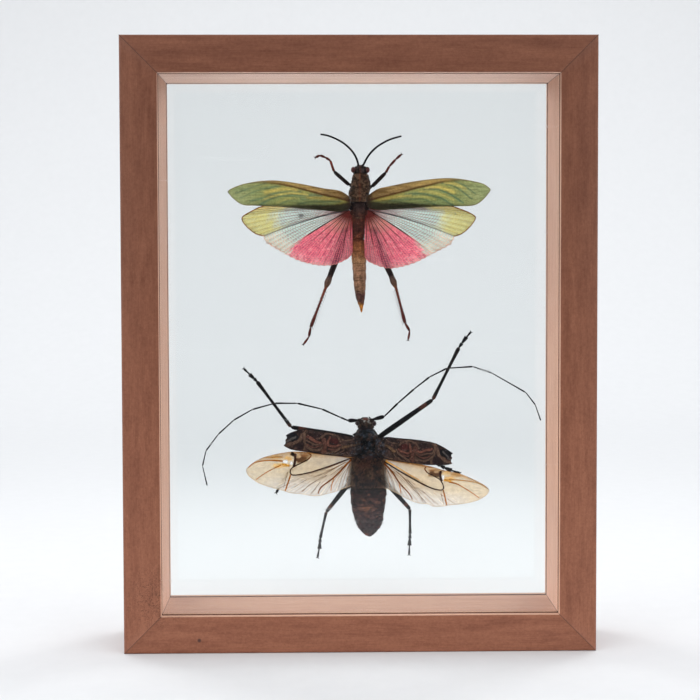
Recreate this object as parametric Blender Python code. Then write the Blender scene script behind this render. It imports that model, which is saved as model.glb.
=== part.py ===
"""Framed insect display: a winged grasshopper above a long-horned beetle, both with their wings
spread, held on the rear pane of a double-glazed wooden frame that stands on its bottom rail.

X runs to the right, Z up, and the front of the frame faces -Y. The origin is the middle of the
frame's underside. Every size and place is in millimetres; meshes are made in metres.
"""

import math

import bmesh
import bpy
from mathutils import Vector

MM = 0.001
GAP = 0.3  # between neighbouring pieces

# Frame
WIDTH = 254.0
HEIGHT = 330.0
DEPTH = 50.0
RAIL = 20.0  # width of a rail's front face
LIP = 3.5  # wood in front of the front pane and behind the rear one
GLASS = 2.5
REBATE = 6.0  # depth of the two grooves that hold the panes
OUTER_ROUND = 1.2
LIP_BEVEL = 0.4
ROUND_STEPS = 4
PANE_Y = DEPTH / 2 - LIP - GAP - GLASS / 2  # middle of a pane, in front of or behind y = 0

# Insects
BODY_Y = 11.0  # depth of the bodies' middle line
BODY_SIDES = 16
BODY_SQUARENESS = 2.4  # 2 is an ellipse
BODY_TURNS = (12.0, 168.0)  # degrees round the body at which the right and left legs leave it
LEG_Y = 13.0
COXA = 1.6
COXA_SLANT = 0.25  # how far back a coxa points for each millimetre outwards
TEGMEN = 0.4
MEMBRANE = 0.3
ELYTRON = 0.9
SMOOTH_ANGLE = math.radians(50)
CURVE_STEPS = 8  # points to each span of an edge before it is cut evenly
LIMB_BEVEL = 1  # extra faces to each quarter of a limb's round section

# Body sections, head end first: (z, x, half width, half depth)
GRASSHOPPER_HEAD = [
    (263.0, 1.3, 2.9, 3.6),
    (262.4, 1.3, 4.0, 4.9),
    (260.9, 1.3, 5.1, 5.4),
    (259.7, 1.4, 4.6, 5.6),
    (258.9, 1.4, 4.2, 5.6),
]
GRASSHOPPER_PRONOTUM = [
    (258.6, 1.4, 4.2, 5.7),
    (254.8, 1.6, 5.2, 6.1),
    (251.3, 1.4, 5.7, 6.3),
    (248.5, 0.6, 5.9, 6.4),
    (247.0, 0.5, 5.7, 6.3),
    (245.4, 0.7, 5.1, 6.1),
    (243.0, 0.7, 4.9, 5.8),
]
GRASSHOPPER_THORAX = [
    (242.7, 0.5, 4.2, 5.5),
    (239.8, 0.5, 4.0, 5.6),
    (233.0, 0.2, 3.9, 5.4),
    (222.5, 0.0, 3.4, 4.9),
]
GRASSHOPPER_ABDOMEN = [
    (222.2, 0.0, 3.4, 4.8),
    (209.2, 0.3, 3.4, 4.4),
    (199.7, 0.3, 3.0, 3.7),
    (193.9, 0.9, 2.5, 3.0),
    (188.6, 1.4, 1.7, 2.1),
    (185.8, 1.7, 1.1, 1.5),
    (181.8, 1.8, 0.4, 0.5),
]
GRASSHOPPER_SEGMENT_STEP = 0.06  # how much narrower a segment is at its front
GRASSHOPPER_SEGMENTS = [222.2, 216.0, 209.2, 205.2, 199.7, 193.9, 188.6, 185.8, 181.8]
BEETLE_HEAD = [
    (123.9, 3.6, 1.8, 2.2),
    (122.8, 3.6, 3.2, 3.9),
    (121.4, 3.8, 4.3, 5.0),
    (119.4, 4.1, 5.3, 5.4),
    (117.8, 4.1, 4.8, 5.2),
    (116.6, 4.1, 4.6, 5.0),
]
BEETLE_PRONOTUM = [
    (116.3, 4.1, 4.6, 5.2),
    (114.6, 4.2, 5.6, 5.8),
    (112.7, 4.2, 7.3, 6.1),
    (111.4, 4.4, 6.4, 6.2),
    (110.1, 4.6, 6.2, 6.0),
]
BEETLE_THORAX = [
    (109.8, 4.7, 5.8, 5.6),
    (106.0, 4.9, 7.2, 6.2),
    (102.0, 5.1, 9.3, 6.4),
    (95.0, 5.1, 9.7, 6.5),
    (87.5, 5.1, 9.6, 6.4),
    (83.6, 5.4, 10.0, 6.0),
]
BEETLE_ABDOMEN = [
    (83.3, 5.4, 10.1, 5.8),
    (81.9, 5.5, 10.2, 5.8),
    (73.3, 5.5, 9.2, 5.4),
    (68.8, 5.5, 8.2, 5.0),
    (64.0, 6.1, 7.4, 4.3),
    (59.4, 6.1, 4.2, 2.8),
    (55.5, 6.1, 1.0, 0.9),
]
BEETLE_SEGMENT_STEP = 0.04
SEGMENT_EDGE = 0.12  # share of a segment's length at which its full width ends
BEETLE_SEGMENTS = [83.3, 78.9, 73.8, 69.1, 64.6, 60.0, 55.5]

# Wings from hinge to tip: (x, z) along the leading and the trailing edge, then their depths
TEGMEN_LEFT_LEAD = [
    (-5.7, 246.2), (-8.8, 248.6), (-12.7, 249.6), (-19.6, 250.5), (-33.9, 253.3), (-47.7, 254.8),
    (-61.5, 253.3), (-69.9, 250.4), (-72.0, 248.6),
]
TEGMEN_LEFT_TRAIL = [
    (-4.7, 240.4), (-6.3, 238.5), (-12.3, 237.7), (-27.1, 239.0), (-41.9, 240.3), (-56.7, 241.0),
    (-63.6, 241.4), (-68.5, 244.5), (-71.6, 247.9),
]
TEGMEN_RIGHT_LEAD = [
    (6.1, 246.6), (8.5, 248.8), (11.5, 250.3), (16.1, 251.3), (34.0, 254.6), (51.5, 255.9),
    (66.8, 253.5), (72.0, 250.9), (73.2, 249.2),
]
TEGMEN_RIGHT_TRAIL = [
    (5.1, 240.9), (6.9, 239.3), (13.6, 238.5), (28.9, 239.5), (46.9, 240.4), (62.8, 240.7),
    (68.9, 243.8), (72.8, 248.6),
]
TEGMEN_DEPTHS = (7.6, 5.5)
TEGMEN_CAMBER = 0.7
TEGMEN_CELLS = (18, 4)  # faces along and across
FAN_LEFT_HINGE = (-4.3, 239.0)
FAN_LEFT_RIM = [
    (-48.0, 242.2), (-54.8, 240.1), (-59.3, 237.9), (-63.2, 235.7), (-64.5, 234.0), (-63.5, 231.5),
    (-60.8, 228.5), (-56.9, 225.6), (-52.4, 224.3), (-51.9, 221.1), (-49.0, 218.9), (-42.1, 214.9),
    (-33.2, 210.4), (-23.3, 207.9), (-17.3, 207.6), (-12.3, 208.4), (-8.4, 210.1), (-5.4, 212.1),
    (-4.2, 214.5),
]
FAN_RIGHT_HINGE = (4.9, 239.2)
FAN_RIGHT_RIM = [
    (47.0, 242.4), (56.3, 239.1), (61.5, 237.0), (64.6, 235.2), (65.3, 234.2), (64.1, 231.6),
    (61.0, 228.0), (57.4, 225.2), (53.5, 223.9), (52.2, 219.8), (49.1, 217.8), (40.4, 213.4),
    (31.1, 208.8), (19.8, 206.0), (13.6, 206.6), (8.5, 208.4), (4.9, 210.4), (4.2, 213.0),
]
FAN_DEPTHS = (9.0, 8.0)
FAN_PLEAT = 0.35
FAN_RAYS = 34
FAN_STATIONS = (0.05, 0.3, 0.55, 0.8, 1.0)  # shares of a ray's length
ELYTRON_LEFT_LEAD = [
    (-0.2, 112.3), (-8.6, 114.1), (-20.0, 116.3), (-28.1, 117.0), (-33.4, 116.6), (-37.3, 115.8),
    (-40.5, 113.9),
]
ELYTRON_LEFT_TRAIL = [
    (0.6, 104.6), (-5.8, 102.1), (-17.5, 102.6), (-29.5, 104.0), (-34.5, 105.3), (-38.7, 106.6),
    (-41.5, 108.5),
]
ELYTRON_RIGHT_LEAD = [
    (10.6, 111.6), (15.7, 112.7), (25.6, 111.9), (36.3, 110.5), (45.1, 107.9), (48.7, 105.8),
    (52.0, 103.6),
]
ELYTRON_RIGHT_TRAIL = [
    (9.8, 104.6), (14.3, 101.0), (20.3, 99.5), (30.9, 97.7), (37.0, 97.1), (48.0, 97.2),
    (51.6, 98.0),
]
ELYTRON_DEPTHS = (4.2, 3.0)
ELYTRON_CAMBER = 1.6
ELYTRON_CELLS = (14, 5)
HIND_LEFT_LEAD = [
    (-4.4, 101.4), (-11.2, 102.6), (-29.0, 103.9), (-42.3, 103.8), (-52.6, 101.2), (-61.0, 96.5),
    (-63.0, 94.4),
]
HIND_LEFT_TRAIL = [
    (-4.7, 86.2), (-11.3, 82.4), (-15.8, 81.1), (-24.7, 79.1), (-42.4, 82.6), (-55.8, 86.7),
    (-62.0, 92.1), (-63.0, 93.8),
]
HIND_RIGHT_LEAD = [
    (14.6, 100.0), (24.8, 98.6), (41.0, 95.4), (52.6, 92.3), (61.9, 89.7), (70.3, 84.8),
    (73.0, 82.2),
]
HIND_RIGHT_TRAIL = [
    (15.0, 83.6), (20.1, 81.6), (29.4, 75.9), (41.5, 73.0), (54.9, 74.1), (68.0, 77.3),
    (72.8, 81.2),
]
HIND_DEPTHS = (7.6, 7.0)
HIND_CAMBER = 0.3
HIND_CELLS = (16, 4)
RISE_SHARE = 0.3  # share of a wing's length over which it rises from its hinge
TIP_TAPER = 4.0  # a wing's arch fades over the last 1/4 of its length

# Antennae from the head outwards: (x, z), then their depths and the radii of base and tip
GRASSHOPPER_ANTENNA_LEFT = [
    (0.2, 263.3), (-0.8, 266.8), (-3.3, 271.1), (-8.3, 275.7), (-15.3, 279.2), (-20.7, 280.4),
]
GRASSHOPPER_ANTENNA_RIGHT = [
    (2.9, 263.3), (5.6, 268.3), (9.5, 272.6), (13.4, 275.3), (18.0, 277.6), (24.1, 279.3),
]
BEETLE_ANTENNA_LEFT = [
    (-9.9, 123.4), (-20.4, 128.2), (-34.1, 131.2), (-46.5, 131.3), (-59.1, 127.9), (-69.5, 122.0),
    (-78.1, 114.2), (-85.1, 104.9), (-87.1, 96.4), (-84.6, 85.4),
]
BEETLE_ANTENNA_RIGHT = [
    (21.7, 131.5), (30.9, 139.3), (39.5, 145.9), (49.3, 150.4), (63.8, 151.3), (74.3, 147.7),
    (93.4, 136.7), (98.7, 129.8), (101.8, 120.9),
]
BEETLE_SCAPE_LEFT = [(-1.5, 121.6), (-3.7, 121.2), (-5.9, 121.3)]
BEETLE_SCAPE_RIGHT = [(8.9, 122.6), (11.4, 123.0), (13.8, 123.8)]
ANTENNA_Y = 8.0
GRASSHOPPER_ANTENNA_RADII = (0.45, 0.35)
BEETLE_ANTENNA_RADII = (0.4, 0.25)
ANTENNA_STEPS = 3  # points to each joint of a feeler
SCAPE_RADIUS = 0.8
SCAPE_END = 0.6  # share of that radius at both ends of the first joint

# Legs: (hip z, knee, ankle, points of the foot), then the radii of femur, tibia and foot
GRASSHOPPER_LEGS = {
    "fore_leg_left": (252.6, (-13.3, 260.2), (-15.3, 266.3),
                      [(-18.0, 268.0), (-21.1, 269.2), (-23.5, 268.0)]),
    "fore_leg_right": (251.6, (15.6, 259.5), (17.6, 263.0), [(21.2, 266.9), (24.2, 269.5)]),
    "mid_leg_left": (240.0, (-17.0, 245.5), (-28.0, 247.5), [(-36.0, 246.0)]),
    "mid_leg_right": (240.0, (17.5, 246.0), (29.0, 248.0), [(37.0, 246.5)]),
    "hind_leg_left": (231.5, (-17.3, 197.6), (-26.6, 173.2), [(-27.6, 167.9), (-30.6, 163.8)]),
    "hind_leg_right": (231.5, (20.0, 198.1), (26.3, 175.4), [(28.9, 171.0), (28.0, 166.2)]),
}
GRASSHOPPER_GIRTHS = {"fore": (0.85, 0.45, 0.5), "mid": (0.85, 0.45, 0.5), "hind": (1.3, 0.5, 0.5)}
BEETLE_LEGS = {
    "fore_leg_left": (112.2, (-37.8, 117.3), (-56.9, 143.2), [(-59.8, 146.0), (-63.9, 150.1)]),
    "fore_leg_right": (112.4, (41.5, 133.2), (56.6, 161.8), [(59.9, 166.4), (63.0, 170.1)]),
    "mid_leg_left": (100.0, (-20.5, 106.3), (-39.1, 92.3), [(-42.8, 86.5), (-46.2, 80.4)]),
    "mid_leg_right": (100.0, (31.0, 104.0), (46.1, 95.0), [(51.0, 92.8), (56.9, 90.9)]),
    "hind_leg_left": (86.0, (-18.2, 69.3), (-21.6, 54.5), [(-22.0, 49.9), (-23.1, 43.8)]),
    "hind_leg_right": (86.0, (28.9, 70.6), (29.0, 56.5), [(28.7, 51.5), (28.4, 45.1)]),
}
BEETLE_GIRTHS = {"fore": (1.5, 0.8, 0.75), "mid": (1.35, 0.7, 0.6), "hind": (1.35, 0.65, 0.55)}
# Along each joint: share of its length and share of its radius
HIP_SWELL, COXA_SWELL = 0.9, 0.75
FEMUR_SWELL = ((0.15, 0.9), (0.4, 1.0), (0.7, 0.9), (0.92, 0.8))
KNEE_BLEND = 0.6  # the knee's radius lies this far from the tibia's to the femur's
TIBIA_SWELL = ((0.12, 0.9), (0.6, 0.9), (0.95, 1.05))
ANKLE_SWELL, CLAW_SWELL = 0.8, 0.6

# Adhesive under each insect: height of its middle and radius
GRASSHOPPER_GLUE = (236.0, 3.0)
BEETLE_GLUE = (96.0, 4.5)
GLUE_SIDES = 20
GLUE_TAPER = 0.8  # the end at the pane, as a share of the radius


def clear_scene():
    """Remove every object of the open scene."""
    for thing in list(bpy.data.objects):
        bpy.data.objects.remove(thing, do_unlink=True)


def finish(name, colour, roughness, alpha=1.0):
    """A Principled material with one colour."""
    material = bpy.data.materials.get(name)
    if material is None:
        material = bpy.data.materials.new(name)
        material.use_nodes = True
        shader = material.node_tree.nodes["Principled BSDF"]
        shader.inputs["Base Color"].default_value = (*colour, 1.0)
        shader.inputs["Roughness"].default_value = roughness
        shader.inputs["Metallic"].default_value = 0.0
        shader.inputs["Alpha"].default_value = alpha
    return material


def add_object(name, data, material):
    """Put mesh or curve data in the scene as one named object."""
    data.materials.append(material)
    thing = bpy.data.objects.new(name, data)
    bpy.context.scene.collection.objects.link(thing)
    return thing


def add_mesh(name, corners, faces, material, smooth=True):
    """A mesh object from corners in millimetres, its faces turned outwards."""
    mesh = bpy.data.meshes.new(name)
    mesh.from_pydata([Vector(corner) * MM for corner in corners], [], faces)
    shape = bmesh.new()
    shape.from_mesh(mesh)
    bmesh.ops.recalc_face_normals(shape, faces=shape.faces)
    shape.to_mesh(mesh)
    shape.free()
    if smooth:
        mesh.shade_smooth()
        mesh.set_sharp_from_angle(angle=SMOOTH_ANGLE)
    return add_object(name, mesh, material)


def blend(low, high, share):
    """The value or point that lies the given share of the way from low to high."""
    if isinstance(low, (int, float)):
        return low + (high - low) * share
    return tuple(a + (b - a) * share for a, b in zip(low, high))


def trace(points, steps):
    """Points of a smooth curve through the given ones, with steps to each span."""
    count = len(points)
    path = []
    for span in range(count - 1):
        before = points[max(span - 1, 0)]
        start = points[span]
        end = points[span + 1]
        after = points[min(span + 2, count - 1)]
        for step in range(steps):
            t = step / steps
            path.append(tuple(
                0.5 * (2 * b + (c - a) * t + (2 * a - 5 * b + 4 * c - d) * t * t
                       + (3 * b - a - 3 * c + d) * t * t * t)
                for a, b, c, d in zip(before, start, end, after)))
    path.append(tuple(points[-1]))
    return path


def spaced(points, count):
    """The smooth curve through the points, cut into count equal lengths."""
    path = trace(points, CURVE_STEPS)
    reach = [0.0]
    for start, end in zip(path, path[1:]):
        reach.append(reach[-1] + math.dist(start, end))
    result = []
    span = 0
    for index in range(count + 1):
        wanted = reach[-1] * index / count
        while span < len(path) - 2 and reach[span + 1] < wanted:
            span += 1
        share = (wanted - reach[span]) / (reach[span + 1] - reach[span])
        result.append(blend(path[span], path[span + 1], min(share, 1.0)))
    return result


# ---------------------------------------------------------------- frame

def rail_section():
    """Corners (y, distance from the outer edge) round a rail's section, with its two grooves."""
    front = -DEPTH / 2
    groove_front = front + LIP
    groove_back = groove_front + GLASS + 2 * GAP
    half = []
    for step in range(ROUND_STEPS + 1):
        turn = math.pi / 2 * step / ROUND_STEPS
        half.append((front + OUTER_ROUND * (1 - math.sin(turn)), OUTER_ROUND * (1 - math.cos(turn))))
    half += [
        (front, RAIL - LIP_BEVEL),
        (front + LIP_BEVEL, RAIL),
        (groove_front, RAIL),
        (groove_front, RAIL - REBATE),
        (groove_back, RAIL - REBATE),
        (groove_back, RAIL),
    ]
    return half + [(-y, inset) for y, inset in reversed(half)]


def add_rail(name, length, place, turn, wood):
    """A mitred rail: its outer edge lies on the local X axis and its inner edge towards local +Z."""
    section = rail_section()
    mitre = GAP / math.sqrt(2)
    corners = []
    for side in (-1, 1):
        corners += [(side * (length / 2 - inset - mitre), y, inset) for y, inset in section]
    count = len(section)
    faces = [tuple(range(count)), tuple(range(count, 2 * count))]
    for index in range(count):
        following = (index + 1) % count
        faces.append((index, following, following + count, index + count))
    rail = add_mesh(name, corners, faces, wood, smooth=False)
    rail.location = Vector(place) * MM
    rail.rotation_euler = (0.0, math.radians(turn), 0.0)


def add_pane(name, y, glass):
    """A pane that reaches into the grooves of all four rails."""
    spare = 2 * (REBATE - GAP)
    size = (WIDTH - 2 * RAIL + spare, GLASS, HEIGHT - 2 * RAIL + spare)
    mesh = bpy.data.meshes.new(name)
    shape = bmesh.new()
    bmesh.ops.create_cube(shape, size=1.0)
    bmesh.ops.scale(shape, vec=Vector(size) * MM, verts=shape.verts)
    shape.to_mesh(mesh)
    shape.free()
    pane = add_object(name, mesh, glass)
    pane.location = Vector((0.0, y, HEIGHT / 2)) * MM


def add_frame():
    """Four mitred rails round two panes."""
    wood = finish("stained_wood", (0.25, 0.11, 0.06), 0.5)
    glass = finish("clear_glass", (0.95, 0.97, 0.97), 0.03, alpha=0.2)
    add_rail("bottom_rail", WIDTH, (0.0, 0.0, 0.0), 0.0, wood)
    add_rail("top_rail", WIDTH, (0.0, 0.0, HEIGHT), 180.0, wood)
    add_rail("left_stile", HEIGHT, (-WIDTH / 2, 0.0, HEIGHT / 2), 90.0, wood)
    add_rail("right_stile", HEIGHT, (WIDTH / 2, 0.0, HEIGHT / 2), -90.0, wood)
    add_pane("front_glass", -PANE_Y, glass)
    add_pane("back_glass", PANE_Y, glass)


# ---------------------------------------------------------------- bodies

def outline_point(section, turn):
    """The point of a body section's squared oval at an angle from +X towards the back."""
    _, x, half_width, half_depth = section
    power = 2 / BODY_SQUARENESS
    across = math.copysign(abs(math.cos(turn)) ** power, math.cos(turn))
    deep = math.copysign(abs(math.sin(turn)) ** power, math.sin(turn))
    return Vector((x + half_width * across, BODY_Y + half_depth * deep, section[0]))


def section_at(sections, z):
    """The body section at a height, between the two that enclose it."""
    for above, below in zip(sections, sections[1:]):
        if above[0] >= z >= below[0]:
            return blend(above, below, (above[0] - z) / (above[0] - below[0]))
    raise ValueError(z)


def add_body(name, sections, material):
    """A closed solid lofted through body sections."""
    corners = []
    for section in sections:
        for side in range(BODY_SIDES):
            corners.append(outline_point(section, 2 * math.pi * side / BODY_SIDES))
    faces = [tuple(range(BODY_SIDES)), tuple(range(len(corners) - BODY_SIDES, len(corners)))]
    for ring in range(len(sections) - 1):
        for side in range(BODY_SIDES):
            following = (side + 1) % BODY_SIDES
            first = ring * BODY_SIDES
            faces.append((first + side, first + following,
                          first + following + BODY_SIDES, first + side + BODY_SIDES))
    add_mesh(name, corners, faces, material)


def segmented(sections, edges, step):
    """Sections of an abdomen whose segments widen to their rear edge by the given share."""
    rings = []
    for top, bottom in zip(edges, edges[1:]):
        for z, swell in ((top, 1 - step), (blend(bottom, top, SEGMENT_EDGE), 1.0)):
            _, x, half_width, half_depth = section_at(sections, z)
            rings.append((z, x, half_width * swell, half_depth * swell))
    rings.append(sections[-1])
    return rings


# ---------------------------------------------------------------- wings

def wing_depth(depths, share):
    """Depth of a wing, which rises quickly from its hinge and then runs flat."""
    hinge, outer = depths
    rise = min(share / RISE_SHARE, 1.0)
    return blend(hinge, outer, rise * (2 - rise))


def add_sheet(name, grid, thickness, material):
    """A closed solid of even thickness about a grid of points."""
    columns = len(grid)
    rows = len(grid[0])
    corners = [point for column in grid for point in column]
    faces = []
    for column in range(columns - 1):
        for row in range(rows - 1):
            first = column * rows + row
            faces.append((first, first + 1, first + rows + 1, first + rows))
    sheet = add_mesh(name, corners, faces, material)
    solid = sheet.modifiers.new("Thickness", "SOLIDIFY")
    solid.thickness = thickness * MM
    solid.offset = 0.0


def add_blade(name, lead, trail, depths, camber, thickness, cells, material):
    """A wing between a leading and a trailing edge, arched towards the front."""
    columns, rows = cells
    lead = spaced(lead, columns)
    trail = spaced(trail, columns)
    grid = []
    for index, (front_edge, rear_edge) in enumerate(zip(lead, trail)):
        share = index / columns
        y = wing_depth(depths, share)
        taper = min(1.0, TIP_TAPER * (1 - share))
        column = []
        for row in range(rows + 1):
            across = row / rows
            x, z = blend(front_edge, rear_edge, across)
            column.append((x, y - camber * taper * 4 * across * (1 - across), z))
        grid.append(column)
    add_sheet(name, grid, thickness, material)


def add_fan(name, hinge, rim, material):
    """A pleated wing whose folds run out from its hinge."""
    rays = spaced(rim, FAN_RAYS)
    grid = []
    for index, end in enumerate(rays):
        pleat = FAN_PLEAT * (-1) ** index / 2
        column = []
        for share in FAN_STATIONS:
            x, z = blend(hinge, end, share)
            column.append((x, wing_depth(FAN_DEPTHS, share) + pleat * share, z))
        grid.append(column)
    add_sheet(name, grid, MEMBRANE, material)


# ---------------------------------------------------------------- limbs

def add_limb(name, stations, material):
    """A capped round limb through (point, radius) stations."""
    curve = bpy.data.curves.new(name, "CURVE")
    curve.dimensions = "3D"
    curve.bevel_mode = "ROUND"
    curve.bevel_depth = MM
    curve.bevel_resolution = LIMB_BEVEL
    curve.use_fill_caps = True
    spline = curve.splines.new("POLY")
    spline.points.add(len(stations) - 1)
    for point, (place, radius) in zip(spline.points, stations):
        point.co = (*(Vector(place) * MM), 1.0)
        point.radius = radius
    spline.use_smooth = True
    add_object(name, curve, material)


def antenna_stations(path, radii):
    """A thin feeler along a smooth path, tapering to its tip."""
    places = trace(path, ANTENNA_STEPS)
    last = len(places) - 1
    return [((x, ANTENNA_Y, z), blend(*radii, index / last)) for index, (x, z) in enumerate(places)]


def scape_stations(path):
    """The stout first joint of a feeler, slender at both ends."""
    last = len(path) - 1
    stations = []
    for index, (x, z) in enumerate(path):
        swell = blend(SCAPE_END, 1.0, math.sin(math.pi * index / last))
        stations.append(((x, ANTENNA_Y, z), SCAPE_RADIUS * swell))
    return stations


def hip(sections, z, side):
    """Where a leg leaves the body, and the direction in which it leaves."""
    section = section_at(sections, z)
    turn = math.radians(BODY_TURNS[0] if side > 0 else BODY_TURNS[1])
    outward = Vector((side, COXA_SLANT, 0.0)).normalized()
    return outline_point(section, turn) + outward * GAP, outward


def leg_stations(sections, leg, girth):
    """Coxa, femur, tibia and foot, each with its own girth."""
    hip_z, knee, ankle, foot = leg
    femur, tibia, tarsus = girth
    side = math.copysign(1.0, knee[0])
    start, outward = hip(sections, hip_z, side)
    coxa = start + outward * COXA
    knee = Vector((knee[0], LEG_Y, knee[1]))
    ankle = Vector((ankle[0], LEG_Y, ankle[1]))
    stations = [(start, femur * HIP_SWELL), (coxa, femur * COXA_SWELL)]
    for share, swell in FEMUR_SWELL:
        stations.append((coxa.lerp(knee, share), femur * swell))
    stations.append((knee, blend(tibia, femur, KNEE_BLEND)))
    for share, swell in TIBIA_SWELL:
        stations.append((knee.lerp(ankle, share), tibia * swell))
    stations.append((ankle, tarsus * ANKLE_SWELL))
    for x, z in foot[:-1]:
        stations.append((Vector((x, LEG_Y, z)), tarsus))
    x, z = foot[-1]
    stations.append((Vector((x, LEG_Y, z)), tarsus * CLAW_SWELL))
    return stations


# ---------------------------------------------------------------- insects

def add_glue(name, sections, dab, material):
    """A clear disc of adhesive between the body's underside and the rear pane."""
    z, radius = dab
    _, x, _, half_depth = section_at(sections, z)
    near = BODY_Y + half_depth + GAP
    far = PANE_Y - GLASS / 2 - GAP
    mesh = bpy.data.meshes.new(name)
    shape = bmesh.new()
    bmesh.ops.create_cone(
        shape, cap_ends=True, segments=GLUE_SIDES,
        radius1=radius * MM, radius2=radius * GLUE_TAPER * MM, depth=(far - near) * MM)
    shape.to_mesh(mesh)
    shape.free()
    glue = add_object(name, mesh, material)
    glue.location = Vector((x, (near + far) / 2, z)) * MM
    glue.rotation_euler = (math.radians(90.0), 0.0, 0.0)


def add_legs(owner, legs, girths, prothorax, thorax, material):
    """Six legs: the fore pair on the prothorax and the others on the rear thorax."""
    for name, leg in legs.items():
        pair = name.split("_")[0]
        carrier = prothorax if pair == "fore" else thorax
        add_limb(f"{owner}_{name}", leg_stations(carrier, leg, girths[pair]), material)


def add_grasshopper(glue):
    """Grasshopper with green forewings and pink hind fans."""
    brown = finish("grasshopper_body", (0.16, 0.10, 0.06), 0.55)
    legs = finish("grasshopper_leg", (0.08, 0.035, 0.025), 0.5)
    green = finish("tegmen_green", (0.24, 0.26, 0.08), 0.45)
    pink = finish("wing_pink", (0.70, 0.25, 0.30), 0.4)
    abdomen = segmented(GRASSHOPPER_ABDOMEN, GRASSHOPPER_SEGMENTS, GRASSHOPPER_SEGMENT_STEP)
    add_body("grasshopper_head", GRASSHOPPER_HEAD, brown)
    add_body("grasshopper_pronotum", GRASSHOPPER_PRONOTUM, brown)
    add_body("grasshopper_thorax", GRASSHOPPER_THORAX, brown)
    add_body("grasshopper_abdomen", abdomen, brown)
    for side, path in (("left", GRASSHOPPER_ANTENNA_LEFT), ("right", GRASSHOPPER_ANTENNA_RIGHT)):
        stations = antenna_stations(path, GRASSHOPPER_ANTENNA_RADII)
        add_limb(f"grasshopper_antenna_{side}", stations, legs)
    tegmina = (("left", TEGMEN_LEFT_LEAD, TEGMEN_LEFT_TRAIL),
               ("right", TEGMEN_RIGHT_LEAD, TEGMEN_RIGHT_TRAIL))
    for side, lead, trail in tegmina:
        name = f"grasshopper_tegmen_{side}"
        add_blade(name, lead, trail, TEGMEN_DEPTHS, TEGMEN_CAMBER, TEGMEN, TEGMEN_CELLS, green)
    add_fan("grasshopper_hind_wing_left", FAN_LEFT_HINGE, FAN_LEFT_RIM, pink)
    add_fan("grasshopper_hind_wing_right", FAN_RIGHT_HINGE, FAN_RIGHT_RIM, pink)
    add_legs("grasshopper", GRASSHOPPER_LEGS, GRASSHOPPER_GIRTHS,
             GRASSHOPPER_PRONOTUM, GRASSHOPPER_THORAX, legs)
    add_glue("grasshopper_glue", GRASSHOPPER_THORAX, GRASSHOPPER_GLUE, glue)


def add_beetle(glue):
    """Long-horned beetle with raised wing cases and spread hind wings."""
    dark = finish("beetle_body", (0.035, 0.022, 0.018), 0.55)
    shell = finish("beetle_shell", (0.06, 0.03, 0.02), 0.5)
    membrane = finish("wing_amber", (0.70, 0.50, 0.28), 0.35)
    abdomen = segmented(BEETLE_ABDOMEN, BEETLE_SEGMENTS, BEETLE_SEGMENT_STEP)
    add_body("beetle_head", BEETLE_HEAD, dark)
    add_body("beetle_pronotum", BEETLE_PRONOTUM, dark)
    add_body("beetle_thorax", BEETLE_THORAX, dark)
    add_body("beetle_abdomen", abdomen, dark)
    feelers = (("left", BEETLE_SCAPE_LEFT, BEETLE_ANTENNA_LEFT),
               ("right", BEETLE_SCAPE_RIGHT, BEETLE_ANTENNA_RIGHT))
    for side, scape, path in feelers:
        stations = scape_stations(scape) + antenna_stations(path, BEETLE_ANTENNA_RADII)
        add_limb(f"beetle_antenna_{side}", stations, dark)
    cases = (("left", ELYTRON_LEFT_LEAD, ELYTRON_LEFT_TRAIL),
             ("right", ELYTRON_RIGHT_LEAD, ELYTRON_RIGHT_TRAIL))
    for side, lead, trail in cases:
        name = f"beetle_elytron_{side}"
        add_blade(name, lead, trail, ELYTRON_DEPTHS, ELYTRON_CAMBER, ELYTRON, ELYTRON_CELLS, shell)
    wings = (("left", HIND_LEFT_LEAD, HIND_LEFT_TRAIL), ("right", HIND_RIGHT_LEAD, HIND_RIGHT_TRAIL))
    for side, lead, trail in wings:
        name = f"beetle_hind_wing_{side}"
        add_blade(name, lead, trail, HIND_DEPTHS, HIND_CAMBER, MEMBRANE, HIND_CELLS, membrane)
    add_legs("beetle", BEETLE_LEGS, BEETLE_GIRTHS, BEETLE_PRONOTUM, BEETLE_THORAX, dark)
    add_glue("beetle_glue", BEETLE_THORAX, BEETLE_GLUE, glue)


def main():
    clear_scene()
    add_frame()
    glue = finish("clear_glue", (0.9, 0.88, 0.82), 0.2, alpha=0.4)
    add_grasshopper(glue)
    add_beetle(glue)


main()
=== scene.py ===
import math

import bpy
import numpy as np
from mathutils import Matrix, Vector


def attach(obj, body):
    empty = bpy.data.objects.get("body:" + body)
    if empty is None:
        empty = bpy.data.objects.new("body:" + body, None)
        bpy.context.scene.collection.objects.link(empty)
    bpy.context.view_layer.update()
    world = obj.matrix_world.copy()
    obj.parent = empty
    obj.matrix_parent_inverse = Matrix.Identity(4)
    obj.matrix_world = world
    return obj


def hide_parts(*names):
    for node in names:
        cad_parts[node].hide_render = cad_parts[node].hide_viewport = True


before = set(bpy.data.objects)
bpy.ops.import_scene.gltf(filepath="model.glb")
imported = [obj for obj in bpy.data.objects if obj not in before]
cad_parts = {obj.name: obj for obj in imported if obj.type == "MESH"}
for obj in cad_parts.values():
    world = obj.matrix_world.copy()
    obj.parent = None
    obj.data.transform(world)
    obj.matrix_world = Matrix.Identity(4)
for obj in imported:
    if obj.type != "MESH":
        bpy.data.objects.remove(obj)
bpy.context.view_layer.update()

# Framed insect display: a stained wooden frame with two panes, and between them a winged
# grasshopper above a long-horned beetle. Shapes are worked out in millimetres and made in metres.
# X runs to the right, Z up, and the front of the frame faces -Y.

MM = 0.001
PER_METRE = 1000  # millimetres

# ---------------------------------------------------------------- sizes shared with the solids

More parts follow.
